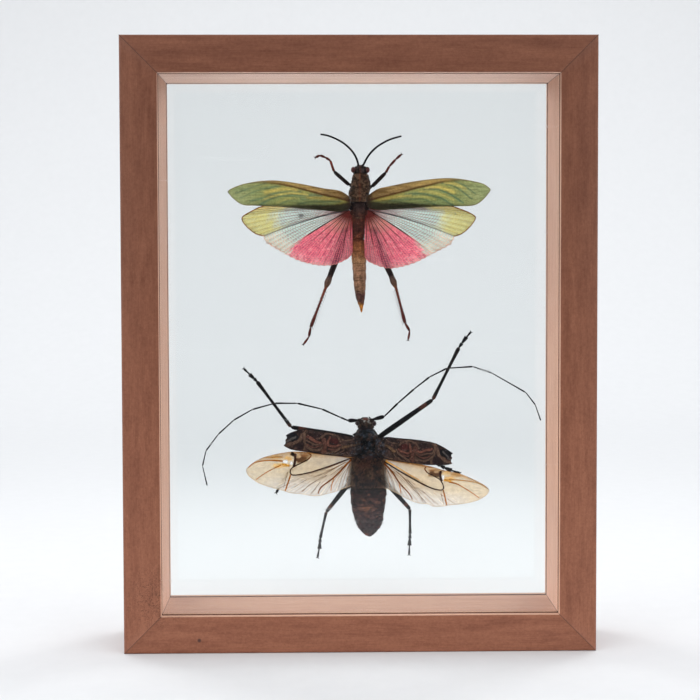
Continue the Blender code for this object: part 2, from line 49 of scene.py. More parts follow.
WIDTH = 254.0
HEIGHT = 330.0
DEPTH = 50.0
RAIL = 20.0  # breadth of a rail's face
LIP = 3.5  # wood outside a pane
GLASS = 2.5  # thickness of a pane
GAP = 0.3  # play on either side of a pane in its groove
REBATE = 6.0  # depth of the groove
OUTER_ROUND = 1.2  # radii of the rails' eased edges
LIP_ROUND = 0.5


# ---------------------------------------------------------------- numbers and curves

def srgb(red, green, blue):
    """A display colour, 0 to 255, as linear light."""
    values = np.array([red, green, blue], float) / 255
    return np.where(values <= 0.04045, values / 12.92, ((values + 0.055) / 1.055) ** 2.4)


def smooth(low, high, value):
    """0 below low, 1 above high and an even ease between them."""
    share = np.clip((np.asarray(value, float) - low) / (high - low), 0.0, 1.0)
    return share * share * (3 - 2 * share)


def mix(first, second, share):
    """A blend of two colours, or of two arrays of them."""
    share = np.asarray(share, float)[..., None]
    return np.asarray(first) * (1 - share) + np.asarray(second) * share


def ridge(value, place, width):
    """A rounded ridge across a run of values."""
    return np.exp(-((value - place) / width) ** 2)


def stops(value, *pairs):
    """A colour read between (value, colour) pairs in rising order."""
    places = [place for place, _ in pairs]
    colours = np.array([colour for _, colour in pairs])
    return np.stack([np.interp(value, places, colours[:, channel]) for channel in range(3)], axis=-1)


def unit(vectors):
    """The vectors at length 1."""
    return vectors / np.maximum(np.linalg.norm(vectors, axis=-1, keepdims=True), 1e-9)


def curve(points, steps=8):
    """Points of a smooth curve through the given ones."""
    points = np.asarray(points, float)
    padded = np.vstack([points[:1], points, points[-1:]])
    t = (np.arange(steps) / steps)[:, None]
    parts = []
    for a, b, c, d in zip(padded, padded[1:], padded[2:], padded[3:]):
        parts.append(0.5 * (2 * b + (c - a) * t + (2 * a - 5 * b + 4 * c - d) * t ** 2
                            + (3 * b - a - 3 * c + d) * t ** 3))
    return np.vstack(parts + [points[-1:]])


def at_depth(path, depth):
    """A flat path (x, z) at a depth."""
    path = np.asarray(path, float)
    return np.column_stack([path[:, 0], np.full(len(path), depth), path[:, 1]])


def even(points, count):
    """The smooth curve through the points, cut into count equal lengths."""
    path = curve(points)
    reach = np.concatenate([[0.0], np.cumsum(np.linalg.norm(np.diff(path, axis=0), axis=1))])
    wanted = np.linspace(0.0, reach[-1], count + 1)
    return np.column_stack([np.interp(wanted, reach, path[:, axis]) for axis in range(path.shape[1])])


def distance_to(places, line):
    """How far each flat point lies from a line of points."""
    best = np.full(places.shape[:-1], np.inf)
    for start, end in zip(line[:-1], line[1:]):
        along = end - start
        share = np.clip(((places - start) @ along) / max(along @ along, 1e-9), 0, 1)
        best = np.minimum(best, np.linalg.norm(places - start - share[..., None] * along, axis=-1))
    return best


# ---------------------------------------------------------------- mesh

class Shape:
    """Patches of mesh in millimetres that become one piece. Each point carries a tint and a grain."""

    def __init__(self):
        self.points, self.tints, self.grains = [], [], []
        self.faces, self.materials = [], []
        self.total = 0

    def add(self, points, faces, tint, material=0, grain=None):
        points = np.asarray(points, float).reshape(-1, 3)
        tint = np.asarray(tint, float)
        tint = tint.reshape(-1, tint.shape[-1])
        if tint.shape[1] == 3:
            tint = np.column_stack([tint, np.ones(len(tint))])
        self.points.append(points)
        self.tints.append(np.broadcast_to(tint, (len(points), 4)))
        self.grains.append(points if grain is None else np.asarray(grain, float).reshape(-1, 3))
        self.faces += [[corner + self.total for corner in face] for face in faces]
        slots = [material] * len(faces) if isinstance(material, int) else list(material)
        self.materials += slots
        self.total += len(points)

    def make(self, node, word, materials, sharp=None):
        """Turn the patches into the piece "node_word", which stands for the node."""
        name = f"{node}_{word}"
        mesh = bpy.data.meshes.new(name)
        mesh.from_pydata(np.vstack(self.points) * MM, [], self.faces)
        for material in materials:
            mesh.materials.append(material)
        mesh.polygons.foreach_set("material_index", self.materials)
        tint = mesh.color_attributes.new("tint", "FLOAT_COLOR", "POINT")
        tint.data.foreach_set("color", np.vstack(self.tints).ravel())
        grain = mesh.attributes.new("grain", "FLOAT_VECTOR", "POINT")
        grain.data.foreach_set("vector", np.vstack(self.grains).ravel())
        mesh.shade_smooth()
        if sharp is not None:
            mesh.set_sharp_from_angle(angle=math.radians(sharp))
        piece = bpy.data.objects.new(name, mesh)
        bpy.context.scene.collection.objects.link(piece)
        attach(piece, "root")
        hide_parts(node)


def quads(rows, columns, wrap=False):
    """Faces of a grid of points, row after row."""
    across = columns if wrap else columns - 1
    row, column = np.divmod(np.arange((rows - 1) * across), across)
    following = (column + 1) % columns
    near, far = row * columns, (row + 1) * columns
    return np.column_stack([near + column, near + following, far + following, far + column]).tolist()


LATTICE = np.random.default_rng(11).random((32, 32, 32))
LATTICE_TURN = np.array([[0.36, 0.48, -0.8], [-0.8, 0.6, 0.0], [0.48, 0.64, 0.6]])


def lumps(points, size, shift=0.0):
    """Smooth random heights from 0 to 1, in lumps of about the given size in millimetres."""
    place = np.asarray(points, float) @ LATTICE_TURN / size + shift
    cell = np.floor(place).astype(int)
    part = place - cell
    part = part * part * (3 - 2 * part)
    total = 0.0
    for corner in np.ndindex(2, 2, 2):
        weight = np.prod(np.where(corner, part, 1 - part), axis=-1)
        near = (cell + corner) % len(LATTICE)
        total = total + weight * LATTICE[near[..., 0], near[..., 1], near[..., 2]]
    return total


def add_sheet(shape, grid, thickness, tint, back_tint=None):
    """A thin closed solid about a grid of points, with its outer side towards the front."""
    rows, columns = grid.shape[:2]
    normal = unit(np.cross(np.gradient(grid, axis=1), np.gradient(grid, axis=0)))
    faces = np.array(quads(rows, columns))
    count = rows * columns
    edge = np.concatenate([
        np.arange(columns), np.arange(2, rows + 1) * columns - 1,
        (rows - 1) * columns + np.arange(columns - 2, -1, -1), np.arange(rows - 2, 0, -1) * columns])
    following = np.roll(edge, -1)
    rim = np.column_stack([following, edge, edge + count, following + count])
    faces = np.vstack([faces, faces[:, ::-1] + count, rim])
    if normal[..., 1].mean() > 0:
        normal = -normal
        faces = faces[:, ::-1]
    half = normal * thickness / 2
    tint = np.asarray(tint).reshape(count, -1)
    back_tint = tint if back_tint is None else np.asarray(back_tint).reshape(count, -1)
    shape.add(np.concatenate([(grid + half).reshape(-1, 3), (grid - half).reshape(-1, 3)]),
              faces.tolist(), np.vstack([tint, back_tint]))


def add_tube(shape, path, radius, tint, sides, material=0, flat=1.0):
    """A capped limb along a path. The radius is one value or one for each point."""
    path = np.asarray(path, float)
    count = len(path)
    radius = np.broadcast_to(np.asarray(radius, float), (count,))
    tangent = unit(np.gradient(path, axis=0))
    side = unit(np.cross(tangent, (0.0, 1.0, 0.0)) + (1e-6, 0, 0))
    depth = np.cross(tangent, side)
    turn = 2 * np.pi * np.arange(sides) / sides
    ring = (side[:, None] * np.cos(turn)[None, :, None]
            + depth[:, None] * np.sin(turn)[None, :, None] * flat)
    points = path[:, None] + ring * radius[:, None, None]
    last = (count - 1) * sides
    faces = quads(count, sides, wrap=True)
    faces += [list(range(sides))[::-1], list(range(last, last + sides))]
    tint = np.asarray(tint, float)
    if tint.ndim == 2:
        tint = np.repeat(tint, sides, axis=0)
    shape.add(points, faces, tint, material)


def add_ball(shape, centre, radii, tint, material=0):
    """An oval body."""
    rows, sides = 13, 28
    across = (np.pi * np.arange(1, rows + 1) / (rows + 1))[:, None]
    around = 2 * np.pi * np.arange(sides) / sides
    ring = np.stack([np.sin(across) * np.cos(around), np.sin(across) * np.sin(around),
                     np.broadcast_to(np.cos(across), (rows, sides))], axis=-1)
    points = np.array(centre) + ring * np.array(radii)
    last = (rows - 1) * sides
    faces = [face[::-1] for face in quads(rows, sides, wrap=True)]
    faces += [list(range(sides)), list(range(last, last + sides))[::-1]]
    shape.add(points, faces, tint, material)


def add_joint(shape, start, end, profile, tint, sides=12, flat=1.0, steps=16):
    """One joint of a limb between two points; profile holds its radii, evenly spaced."""
    start, end = np.asarray(start, float), np.asarray(end, float)
    share = np.linspace(0, 1, steps + 1)
    path = start + (end - start) * share[:, None]
    radius = curve(np.array(profile, float)[:, None])[:, 0]
    radius = np.interp(share, np.linspace(0, 1, len(radius)), radius)
    ends = np.sqrt(np.clip(1 - (1 - np.minimum(share, 1 - share) * steps / 1.5) ** 2, 0.12, 1))
    ends = np.where(np.minimum(share, 1 - share) * steps < 1.5, ends, 1.0)
    add_tube(shape, path, radius * ends, tint, sides, flat=flat)


# ---------------------------------------------------------------- materials

class Nodes:
    """Short calls for a material's nodes."""

    def __init__(self, name):
        self.material = bpy.data.materials.new(name)
        self.material.use_nodes = True
        self.tree = self.material.node_tree
        self.tree.nodes.clear()
        self.output = self.tree.nodes.new("ShaderNodeOutputMaterial")

    def put(self, socket, value):
        if isinstance(value, bpy.types.NodeSocket):
            self.tree.links.new(value, socket)
        else:
            socket.default_value = value

    def node(self, kind, inputs=(), **settings):
        made = self.tree.nodes.new("ShaderNode" + kind)
        for key, value in settings.items():
            setattr(made, key, value)
        for key, value in dict(inputs).items():
            self.put(made.inputs[key], value)
        return made

    def tint(self):
        """The tint that the mesh carries."""
        return self.node("Attribute", attribute_name="tint").outputs["Color"]

    def place(self, per_metre=1):
        """Places on the object, in metres or in a share of one."""
        place = self.node("TexCoord").outputs["Object"]
        return place if per_metre == 1 else self.scaled(place, (per_metre,) * 3)

    def distance(self, centre):
        """How far a place is from a point of the object, in metres."""
        inputs = {0: self.place(), 1: centre}
        return self.node("VectorMath", inputs, operation="DISTANCE").outputs["Value"]

    def math(self, operation, first, second):
        return self.node("Math", {0: first, 1: second}, operation=operation).outputs[0]

    def scaled(self, vector, scale, shift=(0, 0, 0)):
        return self.node("Mapping", {"Vector": vector, "Scale": scale, "Location": shift}).outputs[0]

    def noise(self, vector, scale=1.0, detail=3.0, rough=0.55, distortion=0.0):
        inputs = {"Vector": vector, "Scale": scale, "Detail": detail, "Roughness": rough,
                  "Distortion": distortion}
        return self.node("TexNoise", inputs).outputs["Fac"]

    def between(self, value, low, high, to_low=0.0, to_high=1.0):
        inputs = {"Value": value, "From Min": low, "From Max": high, "To Min": to_low, "To Max": to_high}
        return self.node("MapRange", inputs).outputs[0]

    def blend(self, share, first, second, kind="MIX"):
        made = self.node("Mix", data_type="RGBA", blend_type=kind, clamp_factor=True)
        self.put(made.inputs[0], share)
        self.put(made.inputs[6], first if isinstance(first, bpy.types.NodeSocket) else (*first, 1))
        self.put(made.inputs[7], second if isinstance(second, bpy.types.NodeSocket) else (*second, 1))
        return made.outputs[2]

    def shaded(self, colour, tone):
        """A colour multiplied by a tone."""
        grey = self.node("CombineColor", {"Red": tone, "Green": tone, "Blue": tone}).outputs[0]
        return self.blend(1.0, colour, grey, "MULTIPLY")

    def weighed(self, *parts):
        """The sum of (value, weight) pairs."""
        total = None
        for value, weight in parts:
            value = value if weight == 1 else self.math("MULTIPLY", value, weight)
            total = value if total is None else self.math("ADD", total, value)
        return total

    def bump(self, height, strength, distance):
        inputs = {"Height": height, "Strength": strength, "Distance": distance * MM}
        return self.node("Bump", inputs).outputs[0]

    def surface(self, shader):
        self.tree.links.new(shader, self.output.inputs["Surface"])
        return self.material

    def principled(self, inputs):
        """The finished material with the inputs of its one shader."""
        return self.surface(self.node("BsdfPrincipled", inputs).outputs[0])


def wood(name, dark, light, roughness, marks=()):
    """Fine straight-grained wood. The grain attribute runs along, through and across a rail.
    Marks are knots: place in metres, radius in metres and tint."""
    n = Nodes(name)
    grain = n.node("Attribute", attribute_name="grain").outputs["Vector"]
    curl = n.between(n.distance(CURLY_GRAIN), 0.006, 0.022, 1.0, 0.0)
    broad = n.noise(n.scaled(grain, (0.012, 0.16, 0.16)), detail=3.0, distortion=0.5)
    cloud = n.noise(n.scaled(grain, (0.06, 0.3, 0.3), (7, 3, 1)), detail=4.0, rough=0.65)
    fibre = n.noise(n.scaled(grain, (0.07, 2.2, 2.2)), detail=4.0, rough=0.6, distortion=0.3)
    mottle = n.noise(n.scaled(grain, (0.7, 0.9, 0.9), (3, 9, 4)), detail=4.0, rough=0.75)
    speck = n.noise(n.scaled(grain, (0.9, 1.2, 1.2), (5, 1, 6)), detail=2.0)
    figure = n.noise(n.scaled(grain, (0.45, 0.45, 0.45), (2, 8, 3)), detail=3.0, distortion=3.0)
    tone = n.weighed((broad, 0.22), (cloud, 0.25), (fibre, 0.22), (mottle, 0.31))
    colour = n.blend(n.between(tone, 0.36, 0.64), dark, light)
    pits = n.math("MULTIPLY", n.between(speck, 0.62, 0.72), 0.3)
    colour = n.blend(pits, colour, tuple(0.5 * value for value in dark))
    waves = n.math("MULTIPLY", n.between(figure, 0.52, 0.6), n.math("MULTIPLY", curl, 0.6))
    colour = n.blend(waves, colour, tuple(0.35 * value for value in dark))
    for centre, radius, shade in marks:
        share = n.between(n.distance(centre), radius * 0.45, radius, 0.85, 0.0)
        colour = n.blend(share, colour, shade)
    colour = n.blend(1.0, colour, n.tint(), "MULTIPLY")
    height = n.weighed((fibre, 1), (mottle, 0.5), (pits, -1), (waves, -1))
    inputs = {"Base Color": colour, "Normal": n.bump(height, 0.35, 0.12), "Specular IOR Level": 0.35,
              "Roughness": n.between(fibre, 0.3, 0.7, roughness - 0.06, roughness + 0.1)}
    return n.principled(inputs)


def glass():
    """Clear float glass with a faint haze and a few hairline scratches in its polish."""
    n = Nodes("glass_clear")
    haze = n.noise(n.place(30), detail=2.0, rough=0.7)
    turned = {"Vector": n.place(), "Rotation": (0.0, 0.9, 0.0), "Scale": (14, 14, 320)}
    scratch = n.between(n.noise(n.node("Mapping", turned).outputs[0], detail=1.0), 0.72, 0.74)
    rough = n.weighed((n.between(haze, 0.4, 0.75, 0.0, 0.035), 1), (scratch, 0.12))
    inputs = {"Base Color": (0.972, 0.988, 0.985, 1), "IOR": 1.5, "Transmission Weight": 1.0,
              "Roughness": rough}
    return n.principled(inputs)


def adhesive():
    """Clear hardened adhesive: slightly yellow, with fine bubbles and a rippled skin."""
    n = Nodes("glue_clear")
    place = n.place(PER_METRE)
    ripple = n.noise(place, 0.5, 3.0)
    bubble = n.node("TexVoronoi", {"Vector": place, "Scale": 1.1}).outputs["Distance"]
    colour = n.blend(n.between(bubble, 0.1, 0.3), (0.96, 0.95, 0.9), (0.86, 0.82, 0.7))
    inputs = {"Base Color": colour, "IOR": 1.48, "Transmission Weight": 0.85,
              "Roughness": n.between(ripple, 0.3, 0.7, 0.12, 0.35), "Normal": n.bump(ripple, 0.4, 0.3)}
    return n.principled(inputs)


def paper():
    """The pale matt floor and backdrop, with painted shade that darkens the floor towards the camera, the
    unlit side of the studio.
    """
    n = Nodes("backdrop_paper")
    fleck = n.noise(n.place(), scale=90.0, detail=2.0)
    colour = n.blend(fleck, (0.725, 0.73, 0.735), (0.755, 0.76, 0.765))
    # painted shade: the floor's colour goes dark towards the camera
    depth = n.node("SeparateXYZ", {0: n.place()}).outputs["Y"]
    near = n.node("MapRange", {"Value": depth, "From Min": -0.75, "From Max": -0.12},
                  interpolation_type="SMOOTHSTEP").outputs[0]
    colour = n.blend(near, (0.03, 0.03, 0.03), colour)
    inputs = {"Base Color": colour, "Roughness": 0.9, "Specular IOR Level": 0.1}
    return n.principled(inputs)


def chitin_material(name, roughness, grain, relief, sheen=0.0, level=1.0):
    """Dry insect shell in the tint of its points, finely mottled and pitted."""
    n = Nodes(name)
    place = n.place(PER_METRE)
    fine = n.noise(place, grain, 4.0, 0.7)
    broad = n.noise(place, grain * 0.25, 2.0)
    tone = n.between(n.weighed((fine, 0.7), (broad, 0.3)), 0.3, 0.7, 0.15 * level, 1.95 * level)
    cells = n.node("TexVoronoi", {"Vector": place, "Scale": grain * 1.6}).outputs["Distance"]
    height = n.weighed((fine, 1), (cells, 0.5))
    inputs = {"Base Color": n.shaded(n.tint(), tone), "Normal": n.bump(height, 0.6, relief),
              "Roughness": n.between(fine, 0.3, 0.7, roughness - 0.08, roughness + 0.12),
              "Specular IOR Level": 0.08, "Sheen Weight": sheen, "Sheen Roughness": 0.4}
    return n.principled(inputs)


def eye_material():
    """A dried compound eye: dull dark red with fine facets."""
    n = Nodes("eye_facets")
    place = n.place(PER_METRE)
    cells = n.node("TexVoronoi", {"Vector": place, "Scale": 7.0}).outputs["Distance"]
    colour = n.blend(n.between(cells, 0.2, 0.6), n.tint(), (0.02, 0.008, 0.008))
    inputs = {"Base Color": colour, "Roughness": 0.3, "Specular IOR Level": 0.3,
              "Normal": n.bump(cells, 0.4, 0.03)}
    return n.principled(inputs)


def wing_material(name, through, cell, gloss, net_share=0.14, veiled=False):
    """Wing skin that lets light through. The share of clear holes follows the tint's alpha."""
    n = Nodes(name)
    place = n.place(PER_METRE)
    attribute = n.node("Attribute", attribute_name="tint")
    fine = n.noise(place, 1.3, 4.0, 0.65)
    net = n.node("TexVoronoi", {"Vector": place, "Scale": cell}, feature="DISTANCE_TO_EDGE").outputs[0]
    lines = n.between(net, 0.03, 0.12, 1.0, 0.0)
    tone = n.weighed((n.between(fine, 0.3, 0.7, 0.86, 1.12), 1), (lines, -net_share))
    colour = n.shaded(attribute.outputs["Color"], tone)
    normal = n.bump(n.weighed((lines, net_share * 6), (fine, 1)), 0.4, 0.04)
    skin = n.node("BsdfPrincipled", {"Base Color": colour, "Roughness": gloss, "Normal": normal,
                                     "Specular IOR Level": 0.2}).outputs[0]
    half = n.node("Gamma", {"Color": colour, "Gamma": 0.5}).outputs[0]  # light crosses two faces
    lit = n.node("BsdfTranslucent", {"Color": half, "Normal": normal}).outputs[0]
    both = n.node("MixShader", {0: through, 1: skin, 2: lit}).outputs[0]
    if not veiled:
        return n.surface(both)
    clear = n.node("BsdfTransparent").outputs[0]
    return n.surface(n.node("MixShader", {0: attribute.outputs["Alpha"], 1: clear, 2: both}).outputs[0])


# ---------------------------------------------------------------- frame

STAINED, REVEAL, GROOVE = 0, 1, 2
MITRE_SEAM = 0.02  # half of the seam between two rails
MITRE_BEVEL = 0.3
MITRE_SPREAD = 0.12  # how far the bevelled ends stand out of the section
SEAM_TONE = 0.2
RAIL_STATIONS = 41
GRAIN_SHIFT = 900  # millimetres between the grain of one rail and of the next
# Painted light on the rails: paler near the floor and darker towards the top, and painted shade on the
# bottom rail's inner side.
PAINTED_LIGHT_HEIGHTS, PAINTED_LIGHT_TONES = (0, 110, 240, HEIGHT), (1.2, 1.14, 0.9, 0.94)  # paler near the floor
SHADED_TONE = 0.9  # of the bottom rail's inner side
CURLY_GRAIN = (-0.1085, -0.025, 0.030)  # wild grain on the left stile, near the lower corner
KNOT = ((-0.0866, -0.025, 0.0072), 0.0013, srgb(52, 34, 34))


def rail_section():
    """Corners (y, distance from the outer edge) of a rail's section, and the finish of each side."""
    front = -DEPTH / 2
    near = front + LIP
    far = near + GLASS + 2 * GAP
    half, finish = [], []
    for turn in np.linspace(0, math.pi / 2, 9):
        half.append((front + OUTER_ROUND * (1 - math.sin(turn)), OUTER_ROUND * (1 - math.cos(turn))))
        finish.append(STAINED)
    for turn in np.linspace(0, math.pi / 2, 5):
        half.append((front + LIP_ROUND * (1 - math.cos(turn)), RAIL - LIP_ROUND * (1 - math.sin(turn))))
        finish.append(STAINED if turn < 0.7 else REVEAL)
    half += [(near, RAIL), (near, RAIL - REBATE), (far, RAIL - REBATE), (far, RAIL)]
    finish += [GROOVE, GROOVE, GROOVE, REVEAL]
    mirrored = [(-y, inset) for y, inset in reversed(half)]
    return np.array(half + mirrored), finish + finish[-2::-1] + [STAINED]


def shrunk(section, amount):
    """A section moved inwards by the same amount all round."""
    before = section - np.roll(section, 1, axis=0)
    after = np.roll(section, -1, axis=0) - section
    normals = []
    for side in (before, after):
        side = side / np.linalg.norm(side, axis=1)[:, None]
        normals.append(np.column_stack([-side[:, 1], side[:, 0]]))
    total = normals[0] + normals[1]
    total /= np.maximum(np.linalg.norm(total, axis=1), 0.5)[:, None]
    return section - total * amount


def add_rail(name, length, middle, along, inward, number, materials):
    """A mitred rail with eased mitre edges."""
    section, finish = rail_section()
    tight = shrunk(section, -MITRE_SPREAD)
    count = len(section)
    spans = np.linspace(-1, 1, RAIL_STATIONS)
    rings, tints, grains = [], [], []
    stations = [(-1, tight, MITRE_SEAM)] + [(span, section, MITRE_SEAM + MITRE_BEVEL) for span in spans]
    stations.append((1, tight, MITRE_SEAM))
    for span, ring, spare in stations:
        reach = (length / 2 - ring[:, 1] - spare) * span
        points = (np.array(middle) + reach[:, None] * along + ring[:, 1:2] * inward)
        points[:, 1] += ring[:, 0]
        rings.append(points)
        seam = SEAM_TONE if ring is tight else 1.0
        # painted light and painted shade carried in the rails' tint
        painted_light = np.interp(points[:, 2], PAINTED_LIGHT_HEIGHTS, PAINTED_LIGHT_TONES)
        if name == "bottom_rail":
            painted_light = painted_light * np.where(ring[:, 1] > RAIL - LIP_ROUND, SHADED_TONE, 1.0)
        tints.append(np.repeat(seam * painted_light[:, None], 3, axis=1))
        grains.append(np.column_stack([reach + GRAIN_SHIFT * number, ring[:, 0], ring[:, 1]]))
    faces = quads(len(rings), count, wrap=True)
    slots = finish * (len(rings) - 1)
    last = (len(rings) - 1) * count
    faces += [list(range(count))[::-1], list(range(last, last + count))]
    slots += [STAINED, STAINED]
    shape = Shape()
    shape.add(np.vstack(rings), faces, np.vstack(tints), slots, np.vstack(grains))
    shape.make(name, "wood", materials, sharp=35)


def add_frame():
    """Four stained rails round the two panes."""
    materials = [
        wood("wood_stained", srgb(104, 58, 40), srgb(146, 94, 70), 0.5, [KNOT]),
        wood("wood_reveal", srgb(170, 124, 102), srgb(204, 162, 138), 0.6),
        wood("wood_groove", srgb(70, 40, 28), srgb(104, 62, 44), 0.8),
    ]
    x, z = np.array([1.0, 0, 0]), np.array([0, 0, 1.0])
    add_rail("bottom_rail", WIDTH, (0, 0, 0), x, z, 0, materials)
    add_rail("top_rail", WIDTH, (0, 0, HEIGHT), -x, -z, 1, materials)
    add_rail("left_stile", HEIGHT, (-WIDTH / 2, 0, HEIGHT / 2), -z, x, 2, materials)
    add_rail("right_stile", HEIGHT, (WIDTH / 2, 0, HEIGHT / 2), z, -x, 3, materials)
    for material, names in ((glass(), ("front_glass", "back_glass")),
                            (adhesive(), ("grasshopper_glue", "beetle_glue"))):
        for name in names:
            solid = bpy.data.objects[name]
            solid.data.materials.clear()
            solid.data.materials.append(material)
            solid.visible_shadow = not name.endswith("glass")


# ---------------------------------------------------------------- bodies and legs

BODY_Y = 11.0  # depth of the bodies' middle line
SQUARENESS = 2.4  # 2 is an ellipse
LEG_Y = 13.0
COXA = 1.6


def body_point(section, turn):
    """Points of a body's squared oval at angles from +X towards the back."""
    section, turn = np.asarray(section, float), np.asarray(turn, float)
    power = 2 / SQUARENESS
    across = np.sign(np.cos(turn)) * np.abs(np.cos(turn)) ** power
    deep = np.sign(np.sin(turn)) * np.abs(np.sin(turn)) ** power
    return np.stack([section[..., 1] + section[..., 2] * across,
                     BODY_Y + section[..., 3] * deep, section[..., 0] + 0 * turn], axis=-1)


def section_at(sections, z):
    """The body section at a height."""
    table = np.array(sections, float)[::-1]
    return np.stack([np.interp(z, table[:, 0], table[:, index]) for index in range(4)], axis=-1)


def add_body(shape, sections, look, rings):
    """A body lofted through its sections. look(points, facing) gives the relief and the tint;
    facing is 1 on the side towards the front pane and -1 on the other."""
    sides = 72
    table = even(sections, rings)
    edge = np.minimum(table[:, 0] - table[-1, 0], table[0, 0] - table[:, 0])
    table[:, 2:] *= (1 - 0.08 * (1 - smooth(0.0, 0.5, edge)))[:, None]
    turn = 2 * np.pi * np.arange(sides) / sides
    points = body_point(table[:, None], turn[None, :])
    facing = np.broadcast_to(-np.sin(turn), points.shape[:2])
    relief, tint = look(points, facing)
    middle = np.stack([table[:, 1], np.full(len(table), BODY_Y), table[:, 0]], axis=-1)[:, None]
    points = points + unit(points - middle) * np.asarray(relief)[..., None]
    caps = []
    ends = (points[0], middle[0], (0.55, 0.6)), (points[-1], middle[-1], (-0.1, -0.15))
    for ring, centre, rises in ends:
        for share, rise in zip((0.84, 0.1), rises):
            caps.append(centre + (ring - centre) * share + (0, 0, rise))
    points = np.stack([caps[1], caps[0], *points, caps[2], caps[3]])
    tint = np.asarray(tint)
    tint = np.concatenate([tint[:1], tint[:1], tint, tint[-1:], tint[-1:]])
    count = len(points)
    faces = [face[::-1] for face in quads(count, sides, wrap=True)]
    last = (count - 1) * sides
    faces += [list(range(sides)), list(range(last, last + sides))[::-1]]
    shape.add(points, faces, tint.reshape(-1, 3))


def add_claws(shape, tip, direction, size, tint):
    """The pair of hooked claws at the end of a foot."""
    side = np.cross(direction, (0.0, 1.0, 0.0))
    for way in (-1, 1):
        hook = [tip, tip + (direction * 0.5 + side * 0.45 * way) * size,
                tip + (direction * 0.6 + side * 0.85 * way) * size + (0, -0.3 * size, 0)]
        path = curve(hook, 4)
        add_tube(shape, path, np.linspace(0.3, 0.11, len(path)) * size, tint, 6)


def add_spines(shape, start, end, count, way, length, tint):
    """A row of short slanting spines along one side of a shin."""
    start, end = np.asarray(start, float), np.asarray(end, float)
    along = unit(end - start)
    side = np.cross(along, (0.0, 1.0, 0.0)) * way
    for share in np.linspace(0.15, 0.97, count):
        for depth in (-0.35, 0.35):
            root = start + (end - start) * share + (0, depth, 0)
            path = np.array([root, root + side * length * 0.6 + along * length * 0.3,
                             root + side * length + along * length * 0.75])
            add_tube(shape, path, (0.19, 0.14, 0.03), tint, 5)


def leg_places(sections, leg):
    """The hip, the coxa's end, the knee, the ankle and the points of the foot."""
    hip_z, knee, ankle, foot = leg
    side = math.copysign(1.0, knee[0])
    outward = unit(np.array([side, 0.25, 0.0]))
    start = body_point(section_at(sections, hip_z), math.radians(12 if side > 0 else 168))
    deep = [np.array([x, LEG_Y, z]) for x, z in (knee, ankle, *foot)]
    return [start - outward * 0.6, start + outward * COXA / 2, *deep]


# ---------------------------------------------------------------- grasshopper

# Sections of a body: height, sideways place of the middle, half breadth, half depth
GRASSHOPPER_HEAD = [
    (263.0, 1.3, 2.4, 3.0), (262.6, 1.3, 3.2, 4.2), (261.8, 1.3, 3.7, 4.9), (260.6, 1.3, 4.0, 5.3),
    (259.7, 1.4, 4.1, 5.6), (258.9, 1.4, 4.2, 5.6),
]
GRASSHOPPER_PRONOTUM = [
    (258.6, 1.4, 4.2, 5.7), (254.8, 1.6, 5.2, 6.1), (251.3, 1.4, 5.7, 6.3), (248.5, 0.6, 5.9, 6.4),
    (247.0, 0.5, 5.7, 6.3), (245.4, 0.7, 5.1, 6.1), (243.0, 0.7, 4.9, 5.8),
]
GRASSHOPPER_THORAX = [
    (242.7, 0.5, 4.2, 5.5), (239.8, 0.5, 4.0, 5.6), (233.0, 0.2, 3.9, 5.4), (222.5, 0.0, 3.4, 4.9),
]
GRASSHOPPER_ABDOMEN = [
    (222.2, 0.1, 3.7, 4.8), (213.2, 0.35, 3.95, 4.5), (204.2, 0.75, 3.7, 4.1), (199.9, 0.8, 3.5, 3.7),
    (195.3, 0.95, 3.05, 3.1), (191.9, 1.15, 2.85, 2.8), (189.3, 1.25, 2.35, 2.3), (185.8, 1.6, 1.45, 1.5),
    (181.8, 1.8, 0.3, 0.4),
]
GRASSHOPPER_SEGMENTS = [222.3, 216.0, 209.2, 205.2, 199.7, 193.9, 188.6, 185.8, 181.7]
GRASSHOPPER_ANTENNAE = {
    "left": [(0.2, 263.3), (-0.8, 266.8), (-3.3, 271.1), (-8.3, 275.7), (-15.3, 279.2), (-20.7, 280.4)],
    "right": [(2.9, 263.3), (5.6, 268.3), (9.5, 272.6), (13.4, 275.3), (18.0, 277.6), (24.1, 279.3)],
}
ANTENNA_Y = 8.0
FACE_X = 1.3
EYE = (3.8, 8.7, 260.8)  # half the eyes' distance, then their depth and height
EYE_RADII = (1.5, 2.2, 1.75)
# Legs: height of the hip, then knee, ankle and the points of the foot
GRASSHOPPER_LEGS = {
    "fore_leg_left": (252.6, (-13.3, 260.2), (-15.3, 266.3),
                      [(-18.0, 268.0), (-21.1, 269.2), (-23.5, 268.0)]),
    "fore_leg_right": (251.6, (15.6, 259.5), (17.6, 263.0), [(21.2, 266.9), (24.2, 269.5)]),
    "mid_leg_left": (240.0, (-17.0, 245.5), (-28.0, 247.5), [(-32.0, 247.0), (-36.0, 246.0)]),
    "mid_leg_right": (240.0, (17.5, 246.0), (29.0, 248.0), [(33.0, 247.4), (37.0, 246.5)]),
    "hind_leg_left": (231.5, (-17.3, 197.6), (-26.6, 173.2), [(-27.6, 167.9), (-30.6, 163.8)]),
    "hind_leg_right": (231.5, (20.5, 197.9), (26.3, 175.4), [(28.9, 171.0), (28.0, 166.2)]),
}
# Radii of the thigh, the shin and the foot
GRASSHOPPER_GIRTHS = {"fore": (1.08, 0.7, 0.66), "mid": (0.9, 0.5, 0.5), "hind": (1.4, 0.6, 0.72)}

